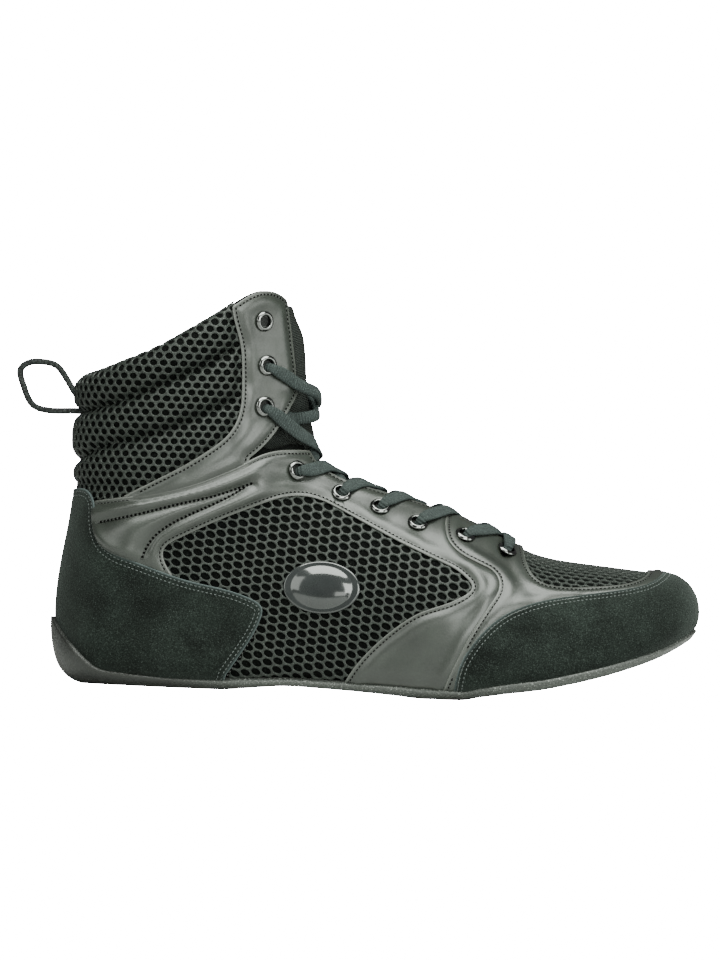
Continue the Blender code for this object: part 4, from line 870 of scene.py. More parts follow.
def cut_panel(chart, outline, windows=(), spacing=0.0016, rings=(0.0003, 0.0009, 0.0017, 0.0025)):
    """A panel cut from a map: its points, triangles, and each point's distance from the cut edge."""
    loops = [even_line(chart, line, OUTLINE_STEP) for line in (outline, *windows)]
    dense = np.concatenate([even_line(chart, line, EDGE_STEP) for line in (outline, *windows)])
    edge_places, _ = chart.frame(dense)
    extra = []
    for number, loop in enumerate(loops):
        for distance in rings:
            flat = beside(chart, loop, distance, number > 0)
            solid, _ = chart.frame(flat)
            keep = inside(loops[0], flat) & (edge_distance(solid, edge_places) > distance * 0.93)
            if number:
                keep &= ~inside(loop, flat)
            extra.append(flat[keep])
    low, high = loops[0].min(0), loops[0].max(0)
    across = np.arange(low[0], high[0], spacing)
    up = np.arange(low[1], high[1], spacing * 0.866)
    lattice = np.stack(np.meshgrid(across, up, indexing="ij"), -1)
    lattice[:, ::2, 0] += spacing / 2
    lattice = lattice.reshape(-1, 2)
    lattice = lattice[inside(loops[0], lattice)]
    for loop in loops[1:]:
        lattice = lattice[~inside(loop, lattice)]
    solid, _ = chart.frame(lattice)
    lattice = lattice[edge_distance(solid, edge_places) > rings[-1] + spacing * 0.5]
    flat, tris = triangulate(np.concatenate([*extra, lattice]), loops)
    middle = flat[tris].mean(1)
    keep = inside(loops[0], middle)
    for loop in loops[1:]:
        keep &= ~inside(loop, middle)
    flat, tris = drop_unused(flat, tris[keep])
    found = chart.find(flat)
    places, normals = last_frame(*found)
    return {"chart": chart, "loops": loops, "flat": flat, "faces": outward(places, normals, tris), "places": places,
            "normals": normals, "gap": edge_distance(places, edge_places), "edge": edge_places, "side": found[0]}


def rounded_edge(gap, top, edge_share=0.62, radius=0.0009):
    """Height of a panel near its cut edge."""
    u = 1 - np.minimum(gap / radius, 1)
    return top * (edge_share + (1 - edge_share) * np.sqrt(1 - u ** 2))


def stitch_groove(gap, rows, depth=0.00025, width=0.00045):
    return -depth * sum(np.exp(-((gap - row) / width) ** 2) for row in rows)


def lay_panel(name, cut, height, thickness, finish):
    """A cut panel laid over the last at a height, with its thickness under it."""
    points = cut["places"] + cut["normals"] * height[:, None]
    sole = np.maximum(base_rise(points[:, 0]), ground(*points[:, :2].T))
    points[:, 2] = np.maximum(points[:, 2], sole + PANEL_CLEARANCE)
    made = lay(name, points, cut["faces"], [finish], uv=cut["flat"] * 100, edge=np.exp(-cut["gap"] / 0.0004))
    solid = made.modifiers.new("thickness", "SOLIDIFY")
    solid.thickness, solid.offset = thickness, -1
    return made


def hems(cut, number, distance, keep, lift):
    """Rows for thread: lines a distance in from one cut edge, as runs of places and normals on top of a piece."""
    loop, chart = cut["loops"][number], cut["chart"]
    flat = beside(chart, loop, distance, number > 0)
    solid, normals = chart.frame(flat)
    good = (edge_distance(solid, cut["edge"]) > distance * 0.9) & keep(solid)
    if number:
        good &= inside(cut["loops"][0], flat)
    start = int(np.argmin(good))
    order = np.roll(np.arange(len(loop)), -start)
    runs, run = [], []
    for k in order:
        if good[k]:
            run.append(k)
        elif run:
            runs.append(run)
            run = []
    if run:
        runs.append(run + ([run[0]] if good.all() else []))
    top = lift(solid, np.full(len(solid), distance))
    return [(solid[run] + normals[run] * top[run][:, None], normals[run]) for run in runs if len(run) > 4]


# The second list keeps black discs of painted shade for the needle holes.
STITCHES, HOLE_SHADES = {}, []


def sew(kind, runs, length=0.00110, width=0.00026, holes=True):
    """Single stitches along runs of places and normals, kept for the thread pieces. Where asked, a black disc of
    painted shade is kept for each needle hole.
    """
    for places, normals in runs:
        reach = travel(places)
        count = int(reach[-1] / STITCH_PITCH)
        if count < 1:
            continue
        for step in range(count):
            at = (step + 0.5) * reach[-1] / count
            spots = [np.array([np.interp(at + move, reach, places[:, k]) for k in range(3)])
                     for move in (-0.0005, 0, 0.0005)]
            normal = unit(np.array([np.interp(at, reach, normals[:, k]) for k in range(3)]))
            ahead = unit(spots[2] - spots[0])
            across = np.cross(normal, ahead)
            STITCHES.setdefault(kind, []).append((spots[1], ahead * length / 2, across * width, normal * width))
            # A black disc at the needle hole: painted shade for the dark inside it.
            if holes:
                end = at + reach[-1] / count / 2
                spot = np.array([np.interp(end, reach, places[:, k]) for k in range(3)])
                HOLE_SHADES.append((spot, ahead * 0.00060, across * 0.00052, normal))


def pale_edge_and_highlight(material, source, output, shader, colour):
    """Colours a panel from a node, and its cut edges paler: partly the cut material's own colour, partly a painted
    highlight along the edge.
    """
    near = node(material, "Attribute", attribute_name="cut_edge")
    edge_colour_and_highlight = node(material, "Mix", [("Factor", near, "Fac")], data_type="RGBA", blend_type="MIX")
    edge_colour_and_highlight.inputs[7].default_value = (*colour, 1)
    join(material, source, output, edge_colour_and_highlight, 6)
    join(material, edge_colour_and_highlight, 2, shader, "Base Color")


def suede_finish():
    made, shader = shader_of("dark_suede", (0.010, 0.013, 0.011), 0.92, Sheen_Weight=0.13, Sheen_Roughness=0.5,
                             Specular_IOR_Level=0.06)
    shader.inputs["Sheen Tint"].default_value = (0.60, 0.68, 0.64, 1)
    nap, fleck = noise(made, 1500, 4, rough=0.65), noise(made, 2900, 2)
    blotch = noise(made, 65, 3)
    short = ramp(made, nap, "Fac", [(0.30, (0.0022, 0.0030, 0.0024)), (0.55, (0.0070, 0.0094, 0.0080)),
                                    (0.78, (0.024, 0.030, 0.026))])
    bright = ramp(made, fleck, "Fac", [(0.60, (0.0, 0.0, 0.0)), (0.74, (0.075, 0.092, 0.084))])
    # Patches lighter and darker at random: partly the suede's uneven tone, partly painted sheen where the nap
    # catches the light.
    nap_sheen_patches = ramp(made, blotch, "Fac", [(0.32, (0.55, 0.55, 0.55)), (0.70, (1.55, 1.6, 1.6))])
    shade = node(made, "Mix", data_type="RGBA", blend_type="MULTIPLY")
    shade.inputs["Factor"].default_value = 1.0
    join(made, short, "Color", shade, 6)
    join(made, nap_sheen_patches, "Color", shade, 7)
    light = node(made, "Mix", data_type="RGBA", blend_type="ADD")
    light.inputs["Factor"].default_value = 0.65
    join(made, shade, 2, light, 6)
    join(made, bright, "Color", light, 7)
    # Paler cut edges: partly the suede's own edge colour, partly a painted highlight.
    pale_edge_and_highlight(made, light, 2, shader, (0.085, 0.105, 0.108))
    bump(made, shader, nap, "Fac", 0.55, 0.0005)
    return made


def down_to_sole(line):
    """The part of a side-view line above the hidden edge, behind the sole's lip."""
    return line[line[:, 1] > lip(line[:, 0]) - UNDER_LIP]


SUEDE_FINISH = suede_finish()
counter_line = side_line(COUNTER_LINE)
back_x = np.interp(counter_line[:, 1], BACK_HEIGHTS, BACK_PLACES)
counter_line = counter_line[counter_line[:, 0] > back_x + 0.0002]
bottom_reach = np.linspace(rear_flat(1, counter_line[-1:, 0], counter_line[-1:, 1])[0, 0], 0, 60)
bottom_x = BACK_PLACES[0] + np.interp(bottom_reach, ROUND_REACH, ROUND_DEPTH)
for _ in range(4):
    bottom_z = lip(bottom_x) - UNDER_LIP
    bottom_x = np.interp(bottom_z, BACK_HEIGHTS, BACK_PLACES) + np.interp(bottom_reach, ROUND_REACH, ROUND_DEPTH)
counter_line = down_to_sole(counter_line)
one_side = np.concatenate([rear_flat(1, *counter_line.T), np.stack([bottom_reach, bottom_z], -1)[1:]])
heel_outline = np.concatenate([one_side, (one_side * (-1, 1))[::-1][1:]])
heel_cut = cut_panel(REAR_MAP, heel_outline, spacing=0.0018, rings=SUEDE_RINGS)


def suede_top(places, gap):
    return rounded_edge(gap, SUEDE + 0.0002) + stitch_groove(gap, SUEDE_HEMS, 0.0004)


def above_lip(places):
    return places[:, 2] > lip(places[:, 0]) + 0.0006


def sewn_suede(name, cut):
    """A suede panel with its two rows of thread."""
    piece = lay_panel(name, cut, suede_top(cut["places"], cut["gap"]), 0.0018, SUEDE_FINISH)
    for row in SUEDE_HEMS:
        sew("suede_thread", hems(cut, 0, row, above_lip, suede_top), 0.00125, 0.00028, False)
    return piece


heel_counter = sewn_suede("heel_counter_suede", heel_cut)
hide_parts("heel_counter")

cap_sides = []
for side in SIDES:
    cap = down_to_sole(side_line(CAP_LINE))
    cap_flat = over_ridge(side, cap, toe_flat)
    low_x = np.linspace(cap[0, 0], 0.999 * SHOE_LENGTH - HEEL_REST_SETBACK, 120)
    front = LAST_POINTS[side][:160, 0]
    front_t = np.interp(0, (front[:, 2] - lip(front[:, 0]) + UNDER_LIP)[::-1], ROWS[:160][::-1])
    low_x = low_x[low_x < last_points(side, front_t, 0.0)[0] - 0.0006]
    _, t, angle = SIDE_MAP[side].find(np.stack([low_x, lip(low_x) - UNDER_LIP], -1))
    front_flat_point = toe_flat(side, np.array([front_t]), np.array([0.0]))
    cap_sides.append(np.concatenate([cap_flat[::-1], toe_flat(side, t, angle), front_flat_point]))
toe_outline = np.concatenate([cap_sides[0], cap_sides[1][::-1][1:-1]])
toe_cut = cut_panel(TOE_MAP, toe_outline, spacing=0.0017, rings=SUEDE_RINGS)
toe_cap = sewn_suede("toe_cap_suede", toe_cut)
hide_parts("toe_cap")

# The leather quarters, vamp facing and ankle flaps
# Soft satin-finished synthetic leather. Two quilted puffs run along the top of each quarter.
# The vamp facing laps over the quarters, and the quarters lap over the ankle flaps.
LEATHER = 0.0013
LAP = 0.0030
HEM = 0.0017
VAMP_REAR = ((0.605, 0.560), (0.601, 0.464), (0.600, 0.421), (0.604, 0.396), (0.618, 0.368), (0.658, 0.334),
             (0.680, 0.312), (0.686, 0.285), (0.674, 0.240), (0.647, 0.168), (0.626, 0.096), (0.598, 0.000))
FLAP_LOW = ((0.365, 0.760), (0.350, 0.705), (0.333, 0.652), (0.312, 0.607), (0.294, 0.580))
QUILT_LINES = (((0.070, 0.402), (0.128, 0.428), (0.189, 0.458), (0.243, 0.482), (0.298, 0.516)),
               ((0.135, 0.313), (0.148, 0.362), (0.175, 0.404), (0.221, 0.445), (0.266, 0.483), (0.287, 0.505)))
EYELETS = ((0.307, 0.923), (0.315, 0.813), (0.314, 0.710), (0.368, 0.553), (0.438, 0.500),
           (0.499, 0.469), (0.558, 0.433), (0.631, 0.405), (0.696, 0.372))
# Soft creases: side-view ends in shares, half width and rise in metres
CREASES = (
    ((0.452, 0.452), (0.470, 0.392), 0.0045, -0.0007), ((0.520, 0.418), (0.534, 0.372), 0.0040, -0.0006),
    ((0.575, 0.385), (0.600, 0.338), 0.0042, -0.0008), ((0.640, 0.330), (0.665, 0.262), 0.0042, 0.0007),
    ((0.660, 0.372), (0.705, 0.318), 0.0040, -0.0009), ((0.716, 0.334), (0.742, 0.268), 0.0046, -0.0008),
    ((0.742, 0.290), (0.800, 0.272), 0.0036, 0.0006), ((0.395, 0.512), (0.430, 0.470), 0.0050, -0.0006),
    ((0.330, 0.560), (0.372, 0.512), 0.0052, -0.0007), ((0.585, 0.250), (0.640, 0.215), 0.0070, -0.0007),
    ((0.560, 0.150), (0.610, 0.175), 0.0070, 0.0006), ((0.283, 0.868), (0.333, 0.862), 0.0048, -0.0008),
    ((0.286, 0.765), (0.345, 0.757), 0.0046, -0.0008), ((0.268, 0.668), (0.320, 0.690), 0.0050, -0.0007),
    ((0.200, 0.540), (0.262, 0.606), 0.0040, -0.0005), ((0.312, 0.655), (0.296, 0.610), 0.0040, 0.0006),
)


def stretch_dips(places):
    """Hollows round the eyelets and the listed creases, as a rise over the panel."""
    view = places[:, [0, 2]]
    rise = np.zeros(len(places))
    for spot in in_view(EYELETS):
        gap = np.linalg.norm(view - spot, axis=1)
        rise -= 0.0011 * np.exp(-(gap / 0.0062) ** 2) + 0.0011 * ease((0.0031 - gap) / 0.0012)
    for *ends, width, lift in CREASES:
        a, b = in_view(ends)
        u = np.clip(((view - a) @ (b - a)) / ((b - a) @ (b - a)), 0, 1)
        gap = np.linalg.norm(view - a - u[:, None] * (b - a), axis=1)
        rise += lift * np.exp(-(gap / width) ** 2)
    return rise


def leather_top(places, gap):
    flat = rounded_edge(gap, LEATHER + 0.0003, 0.66)
    swell = 0.0005 * np.exp(-((gap - 0.0050) / 0.0022) ** 2) - 0.0002 * np.exp(-((gap - HEM) / 0.0012) ** 2)
    return flat + stitch_groove(gap, (HEM,)) + swell + stretch_dips(places) * ease(gap / 0.004)


def leather_finish(colour):
    made, shader = shader_of("satin_leather", colour, 0.38, Specular_IOR_Level=0.60, Coat_Weight=0.12,
                             Coat_Roughness=0.32)
    grain, large = noise(made, 2100, 4, rough=0.6), noise(made, 90, 2)
    dark, pale = tuple(0.78 * part for part in colour), tuple(1.25 * part for part in colour)
    tone = ramp(made, large, "Fac", [(0.3, dark), (0.7, pale)])
    # Paler cut edges: partly the leather's own edge colour, partly a painted highlight.
    pale_edge_and_highlight(made, tone, "Color", shader, (0.13, 0.135, 0.125))
    bump(made, shader, grain, "Fac", 0.16, 0.00025)
    return made


LEATHER_FINISH = leather_finish((0.0165, 0.0200, 0.0162))
THROAT_TS = np.linspace(THROAT_ROW + 0.001, 26.5, 220)
THROAT_TURNS = {side: turn_at_reach(side, THROAT_TS, throat_gap(THROAT_TS)) for side in SIDES}
THROAT_EDGE = {side: last_frame(side, THROAT_TS, THROAT_TURNS[side])[0] for side in SIDES}


def nearest_on(line, point):
    return int(np.argmin(np.linalg.norm(line - point, axis=1)))


def meeting(line, edge):
    """Number of the point of a line that lies nearest to an edge."""
    return int(np.argmin([np.linalg.norm(edge - point, axis=1).min() for point in line]))



vamp_parts = []
for side in SIDES:
    rear = side_line(VAMP_REAR)
    edge_view = THROAT_EDGE[side][:, [0, 2]]
    first = meeting(rear[:40], edge_view)
    on_edge = nearest_on(edge_view, rear[first])
    _, t, angle = SIDE_MAP[side].find(down_to_sole(rear[first + 1:]))
    rear_flat_line = front_flat(side, t, angle)
    cap = down_to_sole(side_line(CAP_LINE)) + (0.6 * LAP, -0.6 * LAP)
    cap_flat = over_ridge(side, cap, front_flat)
    edge_flat = front_flat(side, THROAT_TS[:on_edge + 1], THROAT_TURNS[side][:on_edge + 1])
    vamp_parts.append(np.concatenate([edge_flat[1:], rear_flat_line, cap_flat]))
vamp_outline = np.concatenate([vamp_parts[0], vamp_parts[1][::-1][1:]])
vamp_cut = cut_panel(FRONT_MAP, vamp_outline, [vamp_window])


def vamp_top(places, gap):
    return leather_top(places, gap) + 0.0005


vamp_facing = lay_panel("vamp_facing_leather", vamp_cut, vamp_top(vamp_cut["places"], vamp_cut["gap"]), 0.0016,
                        LEATHER_FINISH)
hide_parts("vamp_facing")


def clear_of_cap(places):
    view = length_share(places[:, 0])
    line = side_line(CAP_LINE)
    cap_x = np.interp(places[:, 2], line[:, 1], line[:, 0])
    return above_lip(places) & (places[:, 0] < cap_x - 0.001) & (view < 0.945)


for number in (0, 1):
    sew("leather_thread", hems(vamp_cut, number, HEM, clear_of_cap, vamp_top))

for side in SIDES:
    top_line = side_line(QUARTER_TOP)
    edge_view = THROAT_EDGE[side][:, [0, 2]]
    top_line = top_line[:meeting(top_line, edge_view)]
    upper_end = nearest_on(edge_view, top_line[-1])
    rear = side_line(VAMP_REAR) + (LAP, 0)
    lower_start = meeting(rear[:40], edge_view)
    lower_end = nearest_on(edge_view, rear[lower_start])
    edge_run = edge_view[lower_end:upper_end][::-1]
    rear = down_to_sole(rear[lower_start + 2:])
    counter = down_to_sole(side_line(COUNTER_LINE))
    counter = counter[counter[:, 1] < 0.452 * SHAFT_HEIGHT] - (0.8 * LAP, 0.5 * LAP)
    low_x = np.linspace(rear[-1, 0], counter[-1, 0], 40)[1:-1]
    low = np.stack([low_x, lip(low_x) - UNDER_LIP], -1)
    outline = np.concatenate([top_line, edge_run, rear, low, counter[::-1]])
    cut = cut_panel(SIDE_MAP[side], outline, [quarter_window], spacing=0.0012)
    lines = []
    for quilt in QUILT_LINES:
        flat = even_line(SIDE_MAP[side], side_line(quilt), 0.0006, closed=False)
        lines.append(SIDE_MAP[side].frame(flat))
    quilt_edge = np.concatenate([line[0] for line in lines])
    top_hem = SIDE_MAP[side].frame(even_line(SIDE_MAP[side], top_line[:-8] - (0, HEM), 0.0006, False))[0]
    quilt_edge = np.concatenate([quilt_edge, top_hem])

    def quarter_top_height(places, gap, quilt_edge=quilt_edge):
        near = edge_distance(places, quilt_edge)
        sx, sz = length_share(places[:, 0]), places[:, 2] / SHAFT_HEIGHT
        zone = ease((0.345 - sx) / 0.06) * ease((sz - 0.24 - 0.25 * sx) / 0.08)
        puff = 0.0026 * (1 - np.exp(-(near / 0.0032) ** 1.5)) * zone * ease(gap / 0.0045)
        puff -= 0.0005 * np.exp(-(near / 0.0009) ** 2) * ease(gap / 0.004)
        return leather_top(places, gap) + puff

    quarter = lay_panel(f"quarter_leather_{SIDE_NAMES[side]}", cut, quarter_top_height(cut["places"], cut["gap"]),
                        0.0016, LEATHER_FINISH)
    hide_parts(f"quarter_{SIDE_NAMES[side]}")

    def clear_of_neighbours(places):
        line, rear_line = side_line(COUNTER_LINE), side_line(VAMP_REAR)
        order = np.argsort(rear_line[:, 1])
        vamp_x = np.interp(places[:, 2], rear_line[order, 1], rear_line[order, 0])
        clear = above_lip(places) & (places[:, 0] < vamp_x - 0.0008)
        region = np.concatenate([line, [[line[0, 0], -0.02]]])
        return clear & ~inside(region, places[:, [0, 2]])

    for number in (0, 1):
        sew("leather_thread", hems(cut, number, HEM, clear_of_neighbours, quarter_top_height))
    for places, normals in lines:
        height = quarter_top_height(places, edge_distance(places, cut["edge"]))
        clear = clear_of_neighbours(places)
        sew("leather_thread", [((places + normals * (height[:, None] + 0.0006))[clear], normals[clear])])

    flap_rear = side_line(FLAP_REAR)
    collar_x = np.linspace(0.2572, 0.352, 60)
    collar_line = in_view(np.stack([collar_x, collar_height(collar_x)], -1)) - (0, 0.0002)
    flap_rear = flap_rear[flap_rear[:, 1] < collar_line[0, 1] - 0.0008]
    stop = meeting(collar_line, edge_view)
    flap_low = side_line(FLAP_LOW)
    begin = meeting(flap_low, edge_view)
    high_end, low_end = nearest_on(edge_view, collar_line[stop]), nearest_on(edge_view, flap_low[begin])
    edge_run = edge_view[low_end + 1:high_end][::-1]
    hidden = side_line(QUARTER_TOP)
    hidden = hidden[(length_share(hidden[:, 0]) > 0.112) & (length_share(hidden[:, 0]) < 0.292)] - (0, LAP)
    flap_outline = np.concatenate([flap_rear[::-1], collar_line[:stop], edge_run, flap_low[begin + 1:],
                                   hidden[::-1]])
    flap_cut = cut_panel(SIDE_MAP[side], flap_outline, spacing=0.0012)

    def flap_top(places, gap):
        return leather_top(places, gap) * 0.9 + 0.0001

    flap = lay_panel(f"ankle_flap_leather_{SIDE_NAMES[side]}", flap_cut,
                     flap_top(flap_cut["places"], flap_cut["gap"]), 0.0016, LEATHER_FINISH)
    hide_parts(f"ankle_flap_{SIDE_NAMES[side]}")

    def clear_of_quarter(places):
        return places[:, 2] > SHAFT_HEIGHT * quarter_top(length_share(places[:, 0])) + 0.0008

    sew("leather_thread", hems(flap_cut, 0, HEM, clear_of_quarter, flap_top))

# The thread
# Bonded polyester thread in short lock stitches, each pulled down into its two needle holes.


def thread_piece(name, colour, rough):
    """All the stitches of one kind as one piece of small rounded bars."""
    dark, pale = (tuple(share * part for part in colour) for share in (0.6, 1.35))
    made = fine_finish(name + "_colour", colour, rough, (5200, 1), [(0.35, dark), (0.65, pale)], Sheen_Weight=0.2)
    bar = bmesh.new()
    bmesh.ops.create_uvsphere(bar, u_segments=6, v_segments=4, radius=1.0)
    shape = np.array([tuple(v.co) for v in bar.verts])
    bar.faces.ensure_lookup_table()
    tris = bmesh.ops.triangulate(bar, faces=bar.faces)["faces"]
    tris = np.array([[v.index for v in face.verts] for face in tris])
    bar.free()
    frames = np.array(STITCHES[name])
    spot, ahead, across, up = (frames[:, None, k] for k in range(4))
    points = spot + shape[:, 2:] * ahead + shape[:, :1] * across + shape[:, 1:2] * up
    faces = tris[None] + (np.arange(len(frames)) * len(shape))[:, None, None]
    mended(lay(name, points.reshape(-1, 3), faces.reshape(-1, 3), [made]))


thread_piece("leather_thread", (0.026, 0.028, 0.026), 0.5)
thread_piece("suede_thread", (0.055, 0.066, 0.064), 0.55)
# The needle holes are painted shade: small black discs laid just over the panels, where each hole would be dark.
hole_shade_colour, _ = shader_of("painted_hole_shade", (0.002, 0.002, 0.002), 0.9, Specular_IOR_Level=0.0)
ring = np.array([(math.cos(a), math.sin(a)) for a in np.linspace(0, 2 * math.pi, 8, endpoint=False)])
frames = [np.concatenate([[spot + normal * 0.00006],
                          spot + ring[:, :1] * ahead + ring[:, 1:] * across + normal * 0.00014])
          for spot, ahead, across, normal in HOLE_SHADES]
fan = np.array([(0, 1 + k, 1 + (k + 1) % 8) for k in range(8)])
faces = (fan[None] + (np.arange(len(frames)) * 9)[:, None, None]).reshape(-1, 3)
normals = np.repeat([hole[3] for hole in HOLE_SHADES], 9, axis=0)
lay("stitch_hole_shades", np.concatenate(frames), outward(np.concatenate(frames), normals, faces), [hole_shade_colour])

# The side badge
# A plain oval moulded in glossy soft plastic, domed in the middle, with a flat welded border.
BADGE_CENTRE = (0.415, 0.265)
BADGE_LENGTH, BADGE_HEIGHT = 0.034, 0.023
BADGE_PROFILE = ((0.0, 3.6), (0.16, 3.56), (0.34, 3.38), (0.50, 3.05), (0.63, 2.60), (0.73, 2.12), (0.79, 1.72),
                 (0.82, 1.60), (0.86, 1.58), (0.93, 1.58), (0.965, 1.52), (0.988, 1.32), (1.0, 1.0))


def ring_piece(name, rings, materials):
    """A closed surface from equal rings of points, drawn together at both ends."""
    rings = np.array(rings)
    index = np.arange(rings.shape[0] * rings.shape[1]).reshape(rings.shape[:2])
    made = lay(name, rings.reshape(-1, 3), quads_of(index, closed=True), materials)
    return mended(made, weld=1e-6, fill=True)


around = np.linspace(0, 2 * math.pi, 96, endpoint=False)
oval = np.stack([np.cos(around) * BADGE_LENGTH / 2, np.sin(around) * BADGE_HEIGHT / 2], -1)
centre = in_view(BADGE_CENTRE)
rings = []
for share, height in (*BADGE_PROFILE, (1.0, 0.5), (0.0, 0.5)):
    places, normals = SIDE_MAP[-1].frame(centre + oval * share)
    rings.append(places + normals * height * MM)
badge_gloss = fine_finish("badge_gloss", (0.020, 0.023, 0.023), 0.14, (60, 2),
                          [(0.3, (0.015, 0.017, 0.017)), (0.7, (0.026, 0.029, 0.029))],
                          Coat_Weight=0.6, Coat_Roughness=0.06)
side_badge = ring_piece("side_badge_oval", rings, [badge_gloss])
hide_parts("side_badge")

# The eyelets
# Turned black-nickel rings, rolled over on the face and clinched through the facing. A black
# disc across each ring's hole is painted shade for its dark inside, seen in the empty top pair.
EYELET_PROFILE = ((2.65, -1.2), (2.65, 0.3), (2.72, 0.85), (2.92, 1.28), (3.22, 1.46), (3.50, 1.42), (3.95, 1.16),
                  (4.35, 0.80), (4.55, 0.52), (4.50, 0.36), (4.20, 0.34), (2.95, 0.34), (2.90, -1.2))
black_nickel = fine_finish("black_nickel", (0.16, 0.163, 0.16), 0.13, (900, 3),
                           [(0.3, (0.12, 0.122, 0.12)), (0.7, (0.20, 0.204, 0.20))], metallic=1.0)
# Near-black finish for the disc inside each eyelet: painted shade for the hole.
eyelet_shade_disc = fine_finish("eyelet_hole_shade", (0.006, 0.006, 0.006), 0.95, (2500, 3),
                   [(0.4, (0.004, 0.004, 0.004)), (0.7, (0.03, 0.032, 0.031))], (0.4, 0.0004))


def facing_height(x):
    """Height of the leather under an eyelet's flange, which is more on the vamp facing."""
    return 0.0018 if length_share(x) > 0.60 else LEATHER


def turned_ring():
    """One ring about Z, spun from its profile."""
    bm = bmesh.new()
    verts = [bm.verts.new((r * MM, 0, z * MM)) for r, z in EYELET_PROFILE]
    edges = [bm.edges.new((a, b)) for a, b in zip(verts, verts[1:] + verts[:1])]
    bmesh.ops.spin(bm, geom=[*verts, *edges], cent=(0, 0, 0), axis=(0, 0, 1), angle=2 * math.pi, steps=40,
                   use_merge=True)
    # A black disc across the bottom of the hole: painted shade for the hole's dark inside.
    bmesh.ops.create_circle(bm, cap_ends=True, segments=40, radius=0.0028,
                            matrix=Matrix.Translation((0, 0, -0.0009)))
    bmesh.ops.recalc_face_normals(bm, faces=[f for f in bm.faces if len(f.verts) == 4])
    for face in bm.faces:
        face.smooth = True
        face.material_index = 1 if len(face.verts) > 4 else 0
    return bm


EYELET_SPOTS = {}
for side in SIDES:
    found = SIDE_MAP[side].find(in_view(EYELETS))
    places, normals = last_frame(*found)
    EYELET_SPOTS[side] = (found[1], ridge_reach(side, *found[1:]))
    for number, (place, normal) in enumerate(zip(places, normals)):
        bm = turned_ring()
        seat = Vector(place) + Vector(normal) * (facing_height(place[0]) - 0.00034)
        turn = Vector(normal).to_track_quat("Z", "Y").to_matrix().to_4x4()
        bmesh.ops.transform(bm, matrix=Matrix.Translation(seat) @ turn, verts=bm.verts)
        name = f"eyelet_{SIDE_NAMES[side]}_{number + 1}"
        mesh = bpy.data.meshes.new(name + "_ring")
        bm.to_mesh(mesh)
        bm.free()
        mesh.materials.append(black_nickel)
        mesh.materials.append(eyelet_shade_disc)
        ring_made = bpy.data.objects.new(name + "_ring", mesh)
        bpy.context.scene.collection.objects.link(ring_made)
        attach(ring_made, "root")
        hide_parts(name)

# The tongue
# A padded tongue in ribbed textile, sewn in at the foot of the throat. It swells between
# the facings and lies flat under them.
TONGUE_CLEARANCE = 0.0022
TONGUE_CROWN = 0.0028
TONGUE_THICKNESS = 0.0034
TONGUE_ROWS = np.linspace(7.6, 24.8, 150)
TONGUE_SHARES = np.linspace(-2.1, 2.1, 61)


def tongue_offset(t, share):
    """How far the tongue's top lies from the surface, at a share of the throat's half width."""
    under = -(WALL + TONGUE_CLEARANCE)
    crown = TONGUE_CROWN - 0.0028 * ease((t - 21.5) / 3.0) - 0.0070 * ease((15.6 - t) / 2.8)
    return under + np.clip((t - 8.6) / 4.0, 0, 1) * (crown - under) * np.maximum(0, 1 - share ** 2)


def over_throat(side, t, across):
    """Places and normals over the throat, at distances from the ridge toward one side."""
    hands = np.where(across >= 0, side, -side)
    turns = [turn_at_reach(hand, row, down) for hand, row, down in zip(hands, t, np.abs(across))]
    return last_frame(hands, t, np.concatenate(turns))


grid_t, grid_share = np.meshgrid(TONGUE_ROWS, TONGUE_SHARES, indexing="ij")
half_gap = THROAT_HALF_GAP * np.minimum(1, 0.72 + 0.28 * (grid_t - TONGUE_ROWS[0]) / 4)
gusset = 1 + 0.9 * np.exp(-((grid_t - 16.0) / 3.0) ** 2)
reach = half_gap * np.sign(grid_share) * (np.minimum(np.abs(grid_share), 1)
                                          + np.maximum(np.abs(grid_share) - 1, 0) * gusset)
places, normals = over_throat(1, grid_t.ravel(), reach.ravel())
top = places + normals * tongue_offset(grid_t, grid_share).ravel()[:, None]
top = top.reshape(*grid_t.shape, 3)
along, across = np.gradient(top, axis=0), np.gradient(top, axis=1)
facing = unit(np.cross(along, across))
facing *= np.sign((facing.reshape(-1, 3) * normals).sum(1).mean())
to_ends = np.minimum(grid_t - TONGUE_ROWS[0], TONGUE_ROWS[-1] - grid_t)
border = np.minimum(half_gap * (TONGUE_SHARES[-1] - np.abs(grid_share)), to_ends * 0.006)
plump = 1 - np.minimum(border / 0.0024, 1)
half = TONGUE_THICKNESS / 2 * np.sqrt(1 - plump ** 2)
middle = top - facing * TONGUE_THICKNESS / 2
sheets = [middle + facing * half[..., None], middle - facing * half[..., None]]
quads = quads_of(np.arange(grid_t.size).reshape(grid_t.shape))
run = travel(top[:, len(TONGUE_SHARES) // 2])
uv = np.stack([(grid_share * half_gap).ravel() * 100, np.repeat(run, len(TONGUE_SHARES)) * 100], -1)
tongue_cloth, tongue_shader = shader_of("ribbed_tongue_cloth", (0.012, 0.014, 0.0125), 0.8, Specular_IOR_Level=0.15)
where = node(tongue_cloth, "TexCoord")
ribs = node(tongue_cloth, "TexWave", [("Vector", where, "UV")], bands_direction="Y", Scale=4.2, Distortion=0.4,
            Detail=1.0)
thread = noise(tongue_cloth, 2400, 2)
